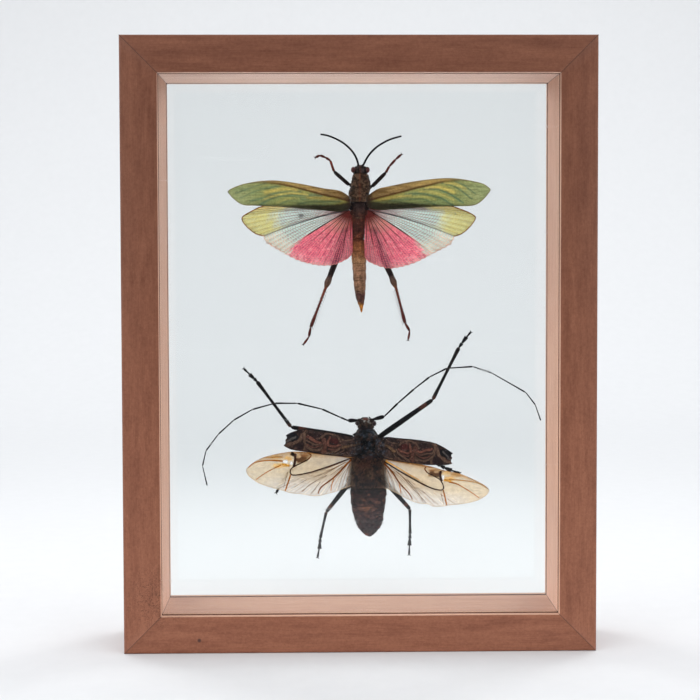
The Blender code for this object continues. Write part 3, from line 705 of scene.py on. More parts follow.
TEGMEN_EDGES = {  # leading edge and trailing edge, from the hinge to the tip
    "left": (
        [(-4.8, 245.9), (-8.8, 248.5), (-12.7, 249.6), (-19.6, 250.5), (-33.9, 253.3), (-47.7, 254.8),
         (-61.5, 253.3), (-69.9, 250.4), (-72.0, 248.6)],
        [(-3.8, 240.6), (-6.3, 238.6), (-12.3, 237.7), (-27.1, 239.0), (-41.9, 240.3), (-56.7, 241.0),
         (-63.6, 241.4), (-68.5, 244.5), (-71.6, 247.9)]),
    "right": (
        [(5.3, 246.3), (8.5, 248.7), (11.5, 250.3), (16.1, 251.3), (34.0, 254.6), (51.5, 255.9),
         (66.8, 253.5), (72.0, 250.9), (73.2, 249.2)],
        [(4.4, 241.0), (6.9, 239.4), (13.6, 238.5), (28.9, 239.5), (46.9, 240.4), (62.8, 240.7),
         (68.9, 243.8), (72.8, 248.6)]),
}
TEGMEN_DEPTHS = (7.6, 5.5)
TEGMEN_CAMBER = 0.7
TEGMEN_THICKNESS = 0.28
TEAL, GILT, SMOKE = srgb(74, 118, 98), srgb(246, 216, 116), srgb(44, 36, 26)
# Bands of each forewing: places, half width in mm, tint and strength. A place is a share of the
# wing's length from its base and a share of its breadth from the leading edge.
TEGMEN_BANDS = {
    "left": [
        ([(0.407, 0.333), (0.457, 0.35), (0.52, 0.4), (0.62, 0.517), (0.703, 0.683), (0.793, 0.8)],
         0.5, TEAL, 0.8),
        ([(0.243, 0.367), (0.3, 0.4), (0.43, 0.5), (0.52, 0.55), (0.617, 0.667), (0.713, 0.917)],
         0.55, TEAL, 0.9),
        ([(0.1, 0.52), (0.197, 0.567), (0.267, 0.633), (0.337, 0.7), (0.43, 0.85)],
         0.6, srgb(70, 96, 72), 0.9),
        ([(0.35, 0.6), (0.45, 0.66), (0.52, 0.76), (0.56, 0.9)], 0.4, TEAL, 0.6),
        ([(0.58, 0.22), (0.66, 0.3), (0.747, 0.38), (0.82, 0.52), (0.88, 0.7)], 0.4, TEAL, 0.6),
        ([(0.68, 0.1), (0.773, 0.2), (0.847, 0.3), (0.92, 0.46)], 0.4, TEAL, 0.6),
        ([(0.44, 0.27), (0.507, 0.283), (0.603, 0.38), (0.68, 0.48)], 0.75, GILT, 0.85),
        ([(0.12, 0.44), (0.197, 0.455), (0.267, 0.47), (0.35, 0.53)], 0.6, srgb(196, 164, 84), 0.8),
        ([(0.35, 0.41), (0.477, 0.433), (0.563, 0.53), (0.687, 0.72)], 0.45, GILT, 0.7),
        ([(0.42, 0.62), (0.507, 0.683), (0.59, 0.85)], 0.5, srgb(204, 190, 106), 0.7),
    ],
    "right": [
        ([(0.7, 0.12), (0.76, 0.2), (0.8, 0.33), (0.85, 0.52)], 0.42, TEAL, 0.75),
        ([(0.6, 0.18), (0.68, 0.28), (0.73, 0.4), (0.78, 0.57), (0.82, 0.73)], 0.42, TEAL, 0.9),
        ([(0.46, 0.34), (0.55, 0.38), (0.61, 0.48), (0.67, 0.62), (0.72, 0.77), (0.75, 0.87)],
         0.45, TEAL, 1.0),
        ([(0.31, 0.45), (0.39, 0.47), (0.46, 0.52), (0.53, 0.62), (0.6, 0.75), (0.67, 0.97)],
         0.5, TEAL, 0.9),
        ([(0.19, 0.6), (0.29, 0.65), (0.39, 0.67), (0.46, 0.73), (0.55, 0.97)],
         0.5, srgb(84, 116, 88), 0.9),
        ([(0.13, 0.58), (0.22, 0.68), (0.31, 0.78), (0.38, 0.88)], 0.6, srgb(62, 84, 62), 0.9),
        ([(0.47, 0.3), (0.53, 0.3), (0.6, 0.35), (0.68, 0.5)], 0.7, GILT, 0.85),
        ([(0.13, 0.52), (0.24, 0.5), (0.35, 0.52)], 0.6, srgb(200, 172, 90), 0.8),
        ([(0.38, 0.58), (0.46, 0.62), (0.54, 0.76)], 0.5, srgb(204, 190, 106), 0.7),
        ([(0.62, 0.17), (0.71, 0.22), (0.77, 0.34)], 0.6, GILT, 0.7),
        ([(0.42, 0.42), (0.52, 0.47), (0.6, 0.6), (0.68, 0.78)], 0.4, GILT, 0.6),
    ],
}
RADIAL_VEINS = {  # the main vein, which parts the ochre strip from the green blade
    "left": [(0.0, 0.44), (0.073, 0.4), (0.13, 0.34), (0.243, 0.283), (0.37, 0.22), (0.507, 0.15),
             (0.62, 0.11), (0.72, 0.05), (0.8, 0.0)],
    "right": [(0.0, 0.5), (0.13, 0.41), (0.24, 0.35), (0.35, 0.29), (0.46, 0.23), (0.57, 0.15),
              (0.64, 0.11), (0.73, 0.05), (0.8, 0.0)],
}

FAN_PLANS = {  # the hinge and the three stretches of the rim
    "left": dict(
        hinge=(-3.5, 239.0),
        fore=[(-48.0, 242.2), (-54.8, 240.1), (-59.3, 237.9), (-63.2, 235.7), (-64.5, 234.0),
              (-63.5, 231.5), (-60.8, 228.5), (-56.9, 225.6), (-52.4, 224.2)],
        middle=[(-52.4, 224.2), (-51.9, 221.1), (-49.0, 218.9), (-42.1, 214.9)],
        rear=[(-42.1, 214.9), (-33.2, 210.4), (-23.3, 207.9), (-17.3, 207.6), (-12.3, 208.4),
              (-8.4, 210.1), (-5.0, 212.1), (-3.2, 214.9)]),
    "right": dict(
        hinge=(4.2, 239.2),
        fore=[(47.0, 242.4), (56.3, 239.1), (61.5, 237.0), (64.6, 235.2), (65.3, 234.2), (64.1, 231.6),
              (61.0, 228.0), (57.4, 225.2), (53.5, 223.8)],
        middle=[(53.5, 223.8), (52.2, 219.8), (49.1, 217.8), (41.5, 214.0)],
        rear=[(41.5, 214.0), (31.1, 208.8), (19.8, 206.0), (13.6, 206.6), (8.5, 208.4),
              (4.9, 210.4), (3.3, 213.4)]),
}
FAN_DEPTHS = (9.0, 8.0)
FAN_PLEAT = 0.3
FAN_FLECKS = [(-31.8, 235.4, 2.1), (54.1, 236.1, 0.8)]  # x, z and radius of two dark marks
THIGH_SHADOWS = [[(-7.0, 227.0), (-9.3, 219.0), (-13.6, 206.0)],
                 [(9.0, 228.0), (12.2, 218.0), (16.6, 205.0)]]
FAN_GIRTHS = {"strong": (0.34, 0.28), "rear": (0.24, 0.17), "fore": (0.15, 0.12)}  # near hinge, middle
MEMBRANE = 0.1
VEIN_LIFT = (0, 0.03, 0)  # how far the fans' veins stand in front of the skin


def face_cover(cover):
    """Cover of each of a sheet's two faces for a given cover of the whole sheet."""
    return 1 - np.sqrt(1 - np.clip(cover, 0.03, 1.0))


def wing_depth(depths, share):
    """Depth of a wing, which rises quickly from its hinge and then runs flat."""
    rise = np.minimum(np.asarray(share) / 0.3, 1.0)
    return depths[0] + (depths[1] - depths[0]) * rise * (2 - rise)


class Blade:
    """The grid of a wing between its leading and its trailing edge."""

    def __init__(self, edges, columns, rows):
        self.lead, self.trail = (even(edge, columns) for edge in edges)
        self.along = np.repeat(np.linspace(0, 1, columns + 1)[:, None], rows + 1, axis=1)
        self.across = np.repeat(np.linspace(0, 1, rows + 1)[None, :], columns + 1, axis=0)
        share = self.across[..., None]
        self.flat = self.lead[:, None] * (1 - share) + self.trail[:, None] * share

    def arch(self, camber):
        """How far the blade rises between its edges, less towards its tip."""
        return camber * np.minimum(1, 4 * (1 - self.along)) * 4 * self.across * (1 - self.across)

    def points(self, depths, rise=0.0):
        depth = wing_depth(depths, self.along) - rise
        return np.stack([self.flat[..., 0], depth, self.flat[..., 1]], axis=-1)


def granular(base, streak, streak_x):
    """The look of the grasshopper's rough brown head and collar, with a reddish middle line."""
    def look(points, facing):
        grains = lumps(points, 0.6) * 0.5 + lumps(points, 1.2, 3.3) * 0.5
        pits = smooth(0.55, 0.8, lumps(points, 0.75, 7.7))
        crest = ridge(points[..., 0], streak_x, 0.55) * smooth(0.2, 0.9, facing)
        tint = mix(base * 0.42, base * 1.6, smooth(0.28, 0.72, grains))
        tint = tint * (1 - 0.6 * pits)[..., None]
        tint = mix(tint, streak, 0.6 * crest * smooth(0.25, 0.6, lumps(points, 1.7, 9.1)))
        return 0.5 * (grains - 0.5) - 0.15 * pits + 0.22 * crest, tint
    return look


def collar_look(points, facing):
    """The collar: cross furrows, a middle crest and a pale rear edge."""
    relief, tint = granular(srgb(88, 66, 50), srgb(136, 76, 50), 0.9)(points, facing)
    z = points[..., 2]
    upper = smooth(-0.4, 0.3, facing)
    for furrow in (255.4, 251.4, 247.6):
        cut = ridge(z + 0.5 * ridge(points[..., 0], 1.0, 3.0), furrow, 0.3) * upper
        relief = relief - 0.28 * cut
        tint = tint * (1 - 0.35 * cut)[..., None]
    edge = ridge(z, 243.5, 0.4)
    return relief + 0.15 * edge, mix(tint, srgb(112, 90, 72), 0.3 * edge)


def thorax_look(points, facing):
    """The reddish rear thorax between the wing bases, blotched with dark brown."""
    z = points[..., 2]
    plates = ridge(z, 240.4, 0.7) + ridge(z, 234.8, 0.5) + ridge(z, 229.2, 0.5)
    rough = lumps(points, 0.8)
    patch = smooth(0.45, 0.7, lumps(points, 2.2, 5.0))
    tint = stops(z, (222, srgb(116, 64, 45)), (228, srgb(102, 52, 38)), (233, srgb(90, 48, 36)),
                 (238.5, srgb(70, 50, 44)), (241.5, srgb(44, 34, 32)))
    tint = mix(tint, srgb(44, 28, 25), 0.6 * patch)
    tint = mix(tint, srgb(134, 110, 86), 0.5 * ridge(z, 234.2, 0.35) * ridge(points[..., 0], 0.4, 1.8))
    return 0.3 * plates + 0.45 * (rough - 0.5), tint * (0.45 + 1.0 * rough)[..., None]


def segment_steps(z, edges):
    """0 at each segment's front and 1 at its rear edge."""
    edges = np.array(edges)[::-1]
    return np.interp(z, np.sort(np.concatenate([edges, edges[1:-1] + 0.22])),
                     np.concatenate([[1.0], np.tile([0.0, 1.0], len(edges) - 2), [0.0]]))


def abdomen_look(points, facing):
    """The grasshopper's straw-brown abdomen: stepped segments with long dark streaks."""
    x, z = points[..., 0], points[..., 2]
    step = segment_steps(z, GRASSHOPPER_SEGMENTS)
    streaks = lumps(points * (1.0, 1.0, 0.25), 0.75, 4.0)
    fine = lumps(points, 0.6, 8.0)
    tint = stops(z - 0.5 * (x < 1.2), (181.8, srgb(176, 108, 34)), (185.2, srgb(184, 120, 52)),
                 (187.2, srgb(86, 58, 50)), (191.5, srgb(86, 58, 52)), (193.5, srgb(120, 88, 68)),
                 (205.0, srgb(142, 104, 80)), (210.5, srgb(146, 108, 76)), (212.5, srgb(134, 88, 58)),
                 (218.0, srgb(126, 74, 44)), (222.2, srgb(100, 54, 36)))
    middle = ridge(x, 0.3, 1.1) * smooth(0.0, 0.8, facing) * smooth(190.0, 196.0, z)
    rind = smooth(0.55, 0.1, facing) * smooth(188.0, 196.0, z)
    tint = tint * (0.35 + 1.2 * streaks + 0.95 * fine + 0.3 * middle - 0.3 * rind)[..., None]
    seam = smooth(0.25, 0.0, step) * smooth(184.0, 187.0, z)
    tint = tint * (1 - (0.15 + 0.5 * lumps(points, 1.1, 3.0)) * seam)[..., None]
    return 0.26 * (step - 0.6) + 0.35 * (fine - 0.5) + 0.3 * (streaks - 0.5), tint


def add_grasshopper_body(chitin):
    """Head with its eyes, collar, rear thorax and abdomen."""
    head = Shape()
    add_body(head, GRASSHOPPER_HEAD, granular(srgb(58, 50, 48), srgb(108, 68, 54), 1.2), 36)
    for way in (-1, 1):
        centre = (FACE_X + way * EYE[0], EYE[1], EYE[2])
        add_ball(head, centre, EYE_RADII, srgb(112, 52, 46), 1)
    for way in (-1, 1):  # short mouth feelers under the face
        add_joint(head, (FACE_X + way * 1.1, ANTENNA_Y, 262.3), (FACE_X + way * 1.35, ANTENNA_Y, 263.9),
                  (0.65, 0.55, 0.45), srgb(30, 24, 26))
    head.make("grasshopper_head", "shell", [chitin["rough"], chitin["eye"]])
    for name, sections, look, rings in (
            ("pronotum", GRASSHOPPER_PRONOTUM, collar_look, 90),
            ("thorax", GRASSHOPPER_THORAX, thorax_look, 90),
            ("abdomen", GRASSHOPPER_ABDOMEN, abdomen_look, 190)):
        part = Shape()
        add_body(part, sections, look, rings)
        if name == "thorax":
            for way, x in ((-1, -3.9), (1, 4.7)):
                add_ball(part, (x, 8.4, 240.6), (1.5, 1.3, 2.3), srgb(40, 28, 26))
                add_ball(part, (x - way * 0.5, 8.6, 237.2), (1.1, 1.1, 1.7), srgb(70, 38, 30))
        part.make(f"grasshopper_{name}", "shell", [chitin["rough"]])


def add_grasshopper_antennae(chitin):
    """Short black feelers with a bead for each joint."""
    for side, route in GRASSHOPPER_ANTENNAE.items():
        path = even(route, 88)
        share = np.arange(len(path)) / 4
        bead = 1 - 0.16 * np.abs(np.cos(np.pi * share)) ** 8
        radius = np.linspace(0.62, 0.52, len(path)) * bead
        shape = Shape()
        add_tube(shape, at_depth(path, ANTENNA_Y), radius, srgb(18, 14, 18), 10)
        shape.make(f"grasshopper_antenna_{side}", "beads", [chitin["smooth"]])


def add_grasshopper_legs(chitin):
    """Walking legs and the long hind legs with their spined shins."""
    dark, red, spine = srgb(46, 34, 33), srgb(124, 54, 42), srgb(84, 40, 32)
    knees = stops(np.linspace(0, 1, 17), (0, dark), (0.35, srgb(118, 92, 82)), (0.8, srgb(122, 88, 70)),
                  (1, srgb(150, 84, 42)))
    shins = stops(np.linspace(0, 1, 41), (0, srgb(150, 78, 52)), (0.5, red), (1, srgb(104, 44, 38)))
    for name, leg in GRASSHOPPER_LEGS.items():
        pair = name.split("_")[0]
        way = 1 if name.endswith("right") else -1
        thigh, shin, foot_girth = GRASSHOPPER_GIRTHS[pair]
        sections = GRASSHOPPER_PRONOTUM if pair == "fore" else GRASSHOPPER_THORAX
        hip, coxa, knee, ankle, *foot = leg_places(sections, leg)
        shape = Shape()
        add_joint(shape, hip, coxa, np.multiply((1, 0.95, 0.9), thigh), dark)
        if pair == "hind":
            neck = knee + unit(coxa - knee) * 4.2
            add_joint(shape, coxa, neck + unit(knee - neck) * 1.3, (1.1, 1.8, 1.85, 1.8, 1.65, 1.5),
                      dark, 14, 0.9, 30)
            add_joint(shape, neck + unit(neck - knee) * 1.4, knee + unit(ankle - knee) * 2.6,
                      (1.45, 1.5, 1.75, 1.85, 1.4, 0.85), knees, 14)
            add_joint(shape, knee, ankle, (0.85, 0.78, 0.7, 0.68, 0.72, 1.0, 0.9), shins, 10, steps=40)
            add_spines(shape, knee, ankle, 13, -way, 2.1, spine)
            add_spines(shape, knee, ankle, 11, way, 1.3, spine)
        else:
            add_joint(shape, coxa, knee, np.multiply((0.9, 1, 1, 1, 0.8), thigh), dark, 12, 0.9, 24)
            add_joint(shape, knee, ankle, np.multiply((1.2, 1, 0.95, 1.1), shin), red, 10)
        foot = [ankle, *foot]
        for before, point in zip(foot, foot[1:]):
            girth = foot_girth * (0.8 if point is foot[-1] and pair == "hind" else 1.0)
            add_joint(shape, before, point, np.multiply((0.8, 1, 1.15, 0.8), girth),
                      srgb(112, 52, 44), 10)
        add_claws(shape, foot[-1], unit(foot[-1] - foot[-2]), 1.05, srgb(72, 34, 30))
        shape.make(f"grasshopper_{name}", "shell", [chitin["smooth"]])


def band_offset(along, across, chord, places):
    """How far points of a wing lie from a line given as shares of its length and breadth."""
    line = curve(places)
    off = np.abs(across - np.interp(along, line[:, 0], line[:, 1])) * chord
    past = np.maximum(line[0, 0] - along, along - line[-1, 0])
    return np.hypot(off, np.maximum(past, 0.0) * 60)


def tegmen_look(side, along, across, chord, points):
    """Relief and tint of a forewing: ochre leading strip, green blade with teal and yellow bands,
    dark rear edge near the body."""
    radial = np.array(RADIAL_VEINS[side])
    strip_edge = np.interp(along, radial[:, 0], radial[:, 1])
    streak = lumps(points * (0.12, 1.0, 1.3), 0.9, 2.0)
    thread = lumps(points * (0.2, 1.0, 1.0), 0.5, 5.0)
    speck = lumps(points, 0.8, 6.0) * 0.5 + lumps(points, 0.45, 2.0) * 0.5
    blade = mix(srgb(166, 152, 74), srgb(172, 170, 98), smooth(0.12, 0.4, along))
    blade = mix(blade, srgb(178, 184, 130), smooth(0.6, 0.95, along))
    blade = mix(blade, srgb(136, 154, 104), 0.6 * smooth(0.45, 0.75, streak))
    blade = mix(blade, srgb(128, 148, 100), 0.5 * smooth(0.55, 0.8, across) * smooth(0.9, 0.6, along))
    ochre = mix(srgb(120, 90, 54), srgb(204, 168, 104), smooth(0.25, 0.7, 0.6 * streak + 0.4 * thread))
    ochre = mix(ochre, srgb(206, 176, 104), 0.65 * smooth(0.22, 0.5, along))
    ochre = mix(ochre, srgb(116, 82, 42), 0.7 * smooth(0.25, 0.0, along))
    strip = smooth(0.03, -0.03, across - strip_edge) * (1 - smooth(0.62, 0.84, along))
    tint = mix(blade, ochre, strip)
    relief = np.zeros(along.shape)
    for places, width, colour, strength in TEGMEN_BANDS[side]:
        teal = colour is TEAL
        width = width * (1.3 if teal else 1.15)
        strength = strength * (0.88 if teal else 0.98)
        mark = ridge(band_offset(along, across, chord, places), 0, width)
        tint = mix(tint, colour, strength * mark * (0.8 + 0.3 * speck if teal else 0.55 + 0.6 * speck))
        if teal:
            relief = relief + 0.14 * mark
    border = np.interp(along, (0.05, 0.15, 0.33, 0.5, 0.6), (0.58, 0.68, 0.8, 0.91, 0.98))
    rear = smooth(-0.07, 0.07, across + 0.1 * (speck - 0.5) - border)
    under = smooth(0.9, 0.2, (1 - across) * chord) * smooth(0.8, 0.7, along)
    tint = mix(tint, SMOKE, 0.92 * np.maximum(rear, 0.8 * under))
    ribs = np.abs(np.sin((across * 9.0 + 0.8 * streak) * np.pi)) ** 6
    cross = np.abs(np.sin((along * 46 + 1.5 * speck) * np.pi)) ** 6
    tint = tint * (1 - 0.2 * ribs - 0.14 * cross - 0.2 * smooth(0.5, 0.8, thread))[..., None]
    line = ridge(band_offset(along, across, chord, RADIAL_VEINS[side]), 0, 0.62)
    tint = mix(tint, srgb(76, 38, 24), 0.95 * line * (1 - 0.6 * smooth(0.5, 0.8, along)))
    relief = relief + 0.2 * line + 0.05 * (ribs + cross)
    edge = np.minimum(across, 1 - across) * chord
    rim = smooth(0.6, 0.1, np.minimum(edge, (1 - along) * 60)) * (1 - under) * smooth(0.05, 0.16, along)
    tint = mix(tint, srgb(116, 92, 44), 0.8 * rim)
    tint = mix(tint, srgb(50, 34, 26), 0.9 * smooth(0.07, 0.01, along + 0.05 * (speck - 0.5)))
    return relief + 0.12 * rim, tint * (0.66 + 0.68 * speck)[..., None]


def add_tegmina(leaf):
    """The two leathery forewings, with raised veins."""
    for side, edges in TEGMEN_EDGES.items():
        blade = Blade(edges, 220, 46)
        points = blade.points(TEGMEN_DEPTHS, blade.arch(TEGMEN_CAMBER))
        chord = np.linalg.norm(blade.trail - blade.lead, axis=1)[:, None]
        relief, tint = tegmen_look(side, blade.along, blade.across, chord, points)
        points[..., 1] -= relief
        shape = Shape()
        add_sheet(shape, points, TEGMEN_THICKNESS, tint)
        shape.make(f"grasshopper_tegmen_{side}", "blade", [leaf])


class Fan:
    """A pleated hind wing. Rays run from its hinge; a ray's place is 0 to 1 in front of the grey
    vein, 1 to 2 up to the dark vein and 2 to 3 in the pink rear fan."""

    FORE, MIDDLE, REAR = 44, 20, 52  # rays in each stretch
    STATIONS = 84

    def __init__(self, plan):
        self.hinge = np.array(plan["hinge"])
        self.side = math.copysign(1.0, self.hinge[0])
        rims = [even(plan["fore"], self.FORE)[:-1], even(plan["middle"], self.MIDDLE)[:-1],
                even(plan["rear"], self.REAR)]
        self.rim = np.vstack(rims)
        self.place = np.concatenate([
            np.arange(self.FORE) / self.FORE, 1 + np.arange(self.MIDDLE) / self.MIDDLE,
            2 + np.arange(self.REAR + 1) / self.REAR])

    def points(self, ray, reach):
        """Points at rays (numbers, fractions allowed) and shares of their length."""
        ray, reach = np.broadcast_arrays(np.asarray(ray, float), np.asarray(reach, float))
        numbers = np.arange(len(self.rim))
        end = np.stack([np.interp(ray, numbers, self.rim[:, axis]) for axis in (0, 1)], axis=-1)
        place = np.interp(ray, numbers, self.place)
        scallop = 1 - 0.012 * np.abs(np.cos(np.pi * ray / 4)) * smooth(1.0, 1.2, place)
        bow = np.interp(place, (0, 1, 2, 2.5, 3), (0.8, 1.3, 1.0, 0.3, 0.0))
        spoke = (end - self.hinge) * scallop[..., None]
        lift = unit(np.stack([-spoke[..., 1], spoke[..., 0]], axis=-1)) * self.side
        flat = self.hinge + spoke * reach[..., None]
        flat = flat + lift * (bow * 4 * reach * (1 - reach))[..., None]
        pleat = FAN_PLEAT * np.cos(np.pi * ray / 2) * reach
        depth = wing_depth(FAN_DEPTHS, reach) + pleat
        return np.stack([flat[..., 0], depth, flat[..., 1]], axis=-1), place

    def zones(self, place, reach, points):
        """How far each point belongs to the yellow tip and to the pink fan."""
        wander = 0.12 * (lumps(points, 2.5) - 0.5)
        yellow = smooth(-0.13, 0.11, reach + wander - (0.58 + 0.2 * place)) * smooth(1.02, 0.98, place)
        edge = 2.0 + 0.05 * smooth(0.7, 1.0, reach) - 0.03 * ridge(reach, 0.66, 0.1)
        net = 0.05 * (lumps(points, 0.8, 9.0) - 0.5) * smooth(0.6, 0.9, reach)
        pink = smooth(-0.035, 0.035, place + 0.35 * wander + 2.2 * net - edge)
        return yellow, pink

    def membrane(self, place, reach, points):
        """Tint and cover of the skin between the veins."""
        yellow, pink = self.zones(place, reach, points)
        speck = lumps(points, 0.9, 2.0)
        clot = lumps(points, 1.2, 6.0) * 0.55 + lumps(points, 0.65, 4.0) * 0.45
        pale = stops(reach, (0.0, srgb(222, 160, 146)), (0.2, srgb(220, 190, 180)),
                     (0.38, srgb(186, 224, 202)), (0.65, srgb(170, 210, 186)), (0.85, srgb(184, 212, 186)),
                     (1.0, srgb(208, 214, 184)))
        # Near the leading edge, under the forewing, the skin is peach and gold and lets more light through:
        # partly its own colour, partly painted light that lifts the forewing's shade.
        lead = smooth(0.4, 0.0, place) * smooth(0.15, 0.35, reach)
        tint = mix(pale, srgb(255, 206, 160), 0.85 * lead)
        gold = mix(srgb(196, 184, 82), srgb(246, 192, 76), smooth(0.45, 0.0, place))
        gold = mix(gold, srgb(188, 190, 104), 0.5 * smooth(0.5, 0.8, clot))
        tint = mix(tint, gold, yellow)
        rose = stops(reach, (0.0, srgb(204, 122, 98)), (0.1, srgb(240, 160, 130)),
                     (0.3, srgb(250, 150, 132)), (0.48, srgb(242, 84, 108)), (0.85, srgb(238, 72, 102)),
                     (0.95, srgb(240, 120, 134)), (1.0, srgb(240, 196, 180)))
        rose = mix(rose, srgb(170, 14, 58), 0.85 * smooth(0.44, 0.62, clot) * smooth(0.3, 0.5, reach))
        rose = mix(rose, srgb(255, 160, 164), 0.55 * smooth(0.6, 0.8, speck))
        rose = mix(rose, srgb(170, 66, 76), 0.7 * smooth(2.5, 2.9, place))
        tint = mix(tint, rose, pink)
        cream = smooth(0.7, 0.9, reach) * smooth(0.9, 1.1, place) * (1 - pink)
        tint = mix(tint, srgb(212, 218, 184), 0.7 * cream)
        cover = 0.6 + 0.26 * yellow + 0.32 * pink * smooth(0.0, 0.25, reach) + 0.12 * cream - 0.14 * lead
        for x, z, radius in FAN_FLECKS:
            off = np.hypot(points[..., 0] - x, points[..., 2] - z) + 0.6 * (speck - 0.5)
            spot = smooth(radius, radius * 0.4, off)
            tint, cover = mix(tint, srgb(44, 56, 56), 0.95 * spot), cover + 0.3 * spot
        for line in THIGH_SHADOWS:
            off = distance_to(points[..., [0, 2]], np.array(line)) + 0.7 * (speck - 0.5)
            band = smooth(2.9, 1.1, off) * pink * smooth(0.18, 0.4, reach)
            tint = mix(tint, srgb(74, 18, 42), 0.85 * band)
        tint = tint * (0.7 + 0.36 * speck)[..., None]
        return np.concatenate([tint, face_cover(cover)[..., None]], axis=-1)

    def vein_tint(self, place, reach, points, dark):
        """Tint of the veins: dark at the hinge, then the colour of their zone."""
        yellow, pink = self.zones(place, reach, points)
        tint = mix(srgb(118, 66, 62), srgb(160, 140, 62), yellow)
        cream = smooth(0.75, 0.9, reach) * smooth(1.0, 1.1, place)
        tint = mix(tint, srgb(196, 136, 112), cream)
        tint = mix(tint, mix(srgb(244, 128, 140), srgb(190, 84, 76), smooth(0.5, 0.3, reach)), pink)
        root = 1 - smooth(dark * 0.7, dark, reach)
        return mix(tint, srgb(66, 28, 24), 0.85 * root * smooth(0.9, 2.0, place) + 0.2 * root * (place < 2))

    def build(self, shape):
        rays = np.arange(0, len(self.rim) - 0.9, 0.5)[:, None]
        reach = np.linspace(0.035, 1.0, self.STATIONS)[None, :]
        points, place = self.points(rays, reach)
        reach = np.broadcast_to(reach, place.shape)
        add_sheet(shape, points, MEMBRANE, self.membrane(place, reach, points))
        self.add_radials(shape)
        self.add_rungs(shape)
        self.add_margin(shape)

    def add_radials(self, shape):
        """Veins along the folds, and finer ones between them in the outer half of the rear."""
        grey, dark = self.FORE, self.FORE + self.MIDDLE
        for ray in range(2, len(self.rim), 2):
            main, rear = ray % 4 == 0, ray >= dark
            if not main and not rear:
                continue
            reach = np.linspace(0.03 if main else 0.42, 0.995, 34)
            path, place = self.points(ray, reach)
            strong = rear and ray % 8 == 0
            thick, thin = FAN_GIRTHS["strong" if strong else "rear" if rear else "fore"]
            girth = np.interp(reach, (0, 0.5, 1), (thick, thin, 0.1))
            shade = (0.8 if strong else 0.3 if main else 0.2) if rear else 0.12
            tint = self.vein_tint(place, reach, path, shade)
            if ray == grey:
                girth = np.interp(reach, (0, 0.2, 0.4, 0.6, 1), (0.25, 0.42, 0.36, 0.26, 0.16))
                tint = srgb(84, 78, 80)
            if ray == dark:
                girth = np.interp(reach, (0, 0.3, 0.62, 0.7, 1), (0.25, 0.34, 0.32, 0.16, 0.12))
                tint = mix(srgb(50, 24, 20), srgb(190, 84, 76), smooth(0.6, 0.68, reach))
            add_tube(shape, path - VEIN_LIFT, girth * (1.0 if main else 0.8), tint, 6, 1)

    def add_rungs(self, shape):
        """Short cross veins that net the skin between neighbouring radial veins."""
        dark = self.FORE + self.MIDDLE
        for ray in range(0, len(self.rim) - 4, 4):
            rear = ray >= dark
            spacing, spans = 1.45, [(0, 4, 0.1, 0.98)]
            if rear:
                spacing, spans = 1.3, [(0, 4, 0.1, 0.42), (0, 2, 0.42, 0.98), (2, 4, 0.42, 0.98)]
            length = np.linalg.norm(self.rim[ray] - self.hinge)
            for first, second, start, end in spans:
                first, second = ray + first, ray + second
                count = max(int((end - start) * length / spacing), 2)
                shift = (ray * 0.37 + second * 0.25) % 1 * spacing / length
                for reach in np.minimum(np.linspace(start, end, count) + shift, 0.985):
                    middle = (first + second) / 2
                    path, place = self.points(np.array([first, middle, second]), reach)
                    tint = self.vein_tint(place, np.full(3, reach), path, 0.1)
                    yellow = self.zones(place, np.full(3, reach), path)[0]
                    girth = 0.12 if rear else 0.21 - 0.13 * yellow
                    add_tube(shape, path - VEIN_LIFT, girth, tint, 3, 1)

    def add_margin(self, shape):
        """The rim vein: strong and brown round the tip, faint along the rear."""
        rays = np.linspace(0, len(self.rim) - 1, 260)
        path, place = self.points(rays, 0.998)
        tip = smooth(1.05, 0.95, place)
        girth = 0.1 + 0.2 * tip
        tint = mix(srgb(214, 150, 136), srgb(128, 80, 28), tip)
        add_tube(shape, path, girth, tint, 6, 1)


def add_fans(skin, vein):
    """The two pleated hind wings with their nets of veins."""
    for side, plan in FAN_PLANS.items():
        shape = Shape()
        Fan(plan).build(shape)
        shape.make(f"grasshopper_hind_wing_{side}", "fan", [skin, vein])


# ---------------------------------------------------------------- beetle

BEETLE_HEAD = [
    (122.3, 3.6, 2.0, 2.0), (122.0, 3.7, 3.2, 3.3), (121.5, 3.8, 4.0, 4.3), (120.6, 3.9, 4.6, 5.0),
    (119.2, 4.1, 4.9, 5.3), (117.8, 4.1, 4.7, 5.2), (116.6, 4.1, 4.6, 5.0),
]
BEETLE_PRONOTUM = [
    (116.3, 4.1, 4.6, 5.2), (114.6, 4.2, 5.6, 5.8), (112.7, 4.2, 6.6, 6.1), (111.4, 4.4, 6.4, 6.2),
    (110.1, 4.6, 6.2, 6.0),
]
BEETLE_THORAX = [
    (109.8, 4.7, 5.8, 5.6), (106.0, 4.9, 7.2, 6.2), (102.0, 5.1, 9.0, 6.4), (95.0, 5.1, 9.5, 6.5),
    (87.5, 5.1, 9.4, 6.4), (83.6, 5.4, 9.9, 6.0),
]
BEETLE_ABDOMEN = [
    (83.3, 5.4, 10.1, 5.8), (81.9, 5.5, 10.2, 5.8), (73.3, 5.4, 9.5, 5.4), (68.8, 5.4, 8.6, 5.0),
    (64.0, 5.8, 7.7, 4.3), (62.0, 5.8, 6.8, 3.8), (60.0, 5.8, 5.5, 3.1), (58.0, 5.85, 3.8, 2.0),
    (56.6, 5.9, 2.2, 1.1), (55.8, 6.0, 0.8, 0.5),
]
BEETLE_SEGMENTS = [83.4, 78.9, 73.8, 69.1, 64.6, 60.0, 55.4]
BEETLE_EYES = [((-0.7, 8.2, 120.0), (1.35, 2.3, 1.5)), ((8.7, 8.2, 119.7), (1.3, 2.3, 1.5))]
BEETLE_SPINES = [(-3.4, 113.1), (11.7, 112.5)]
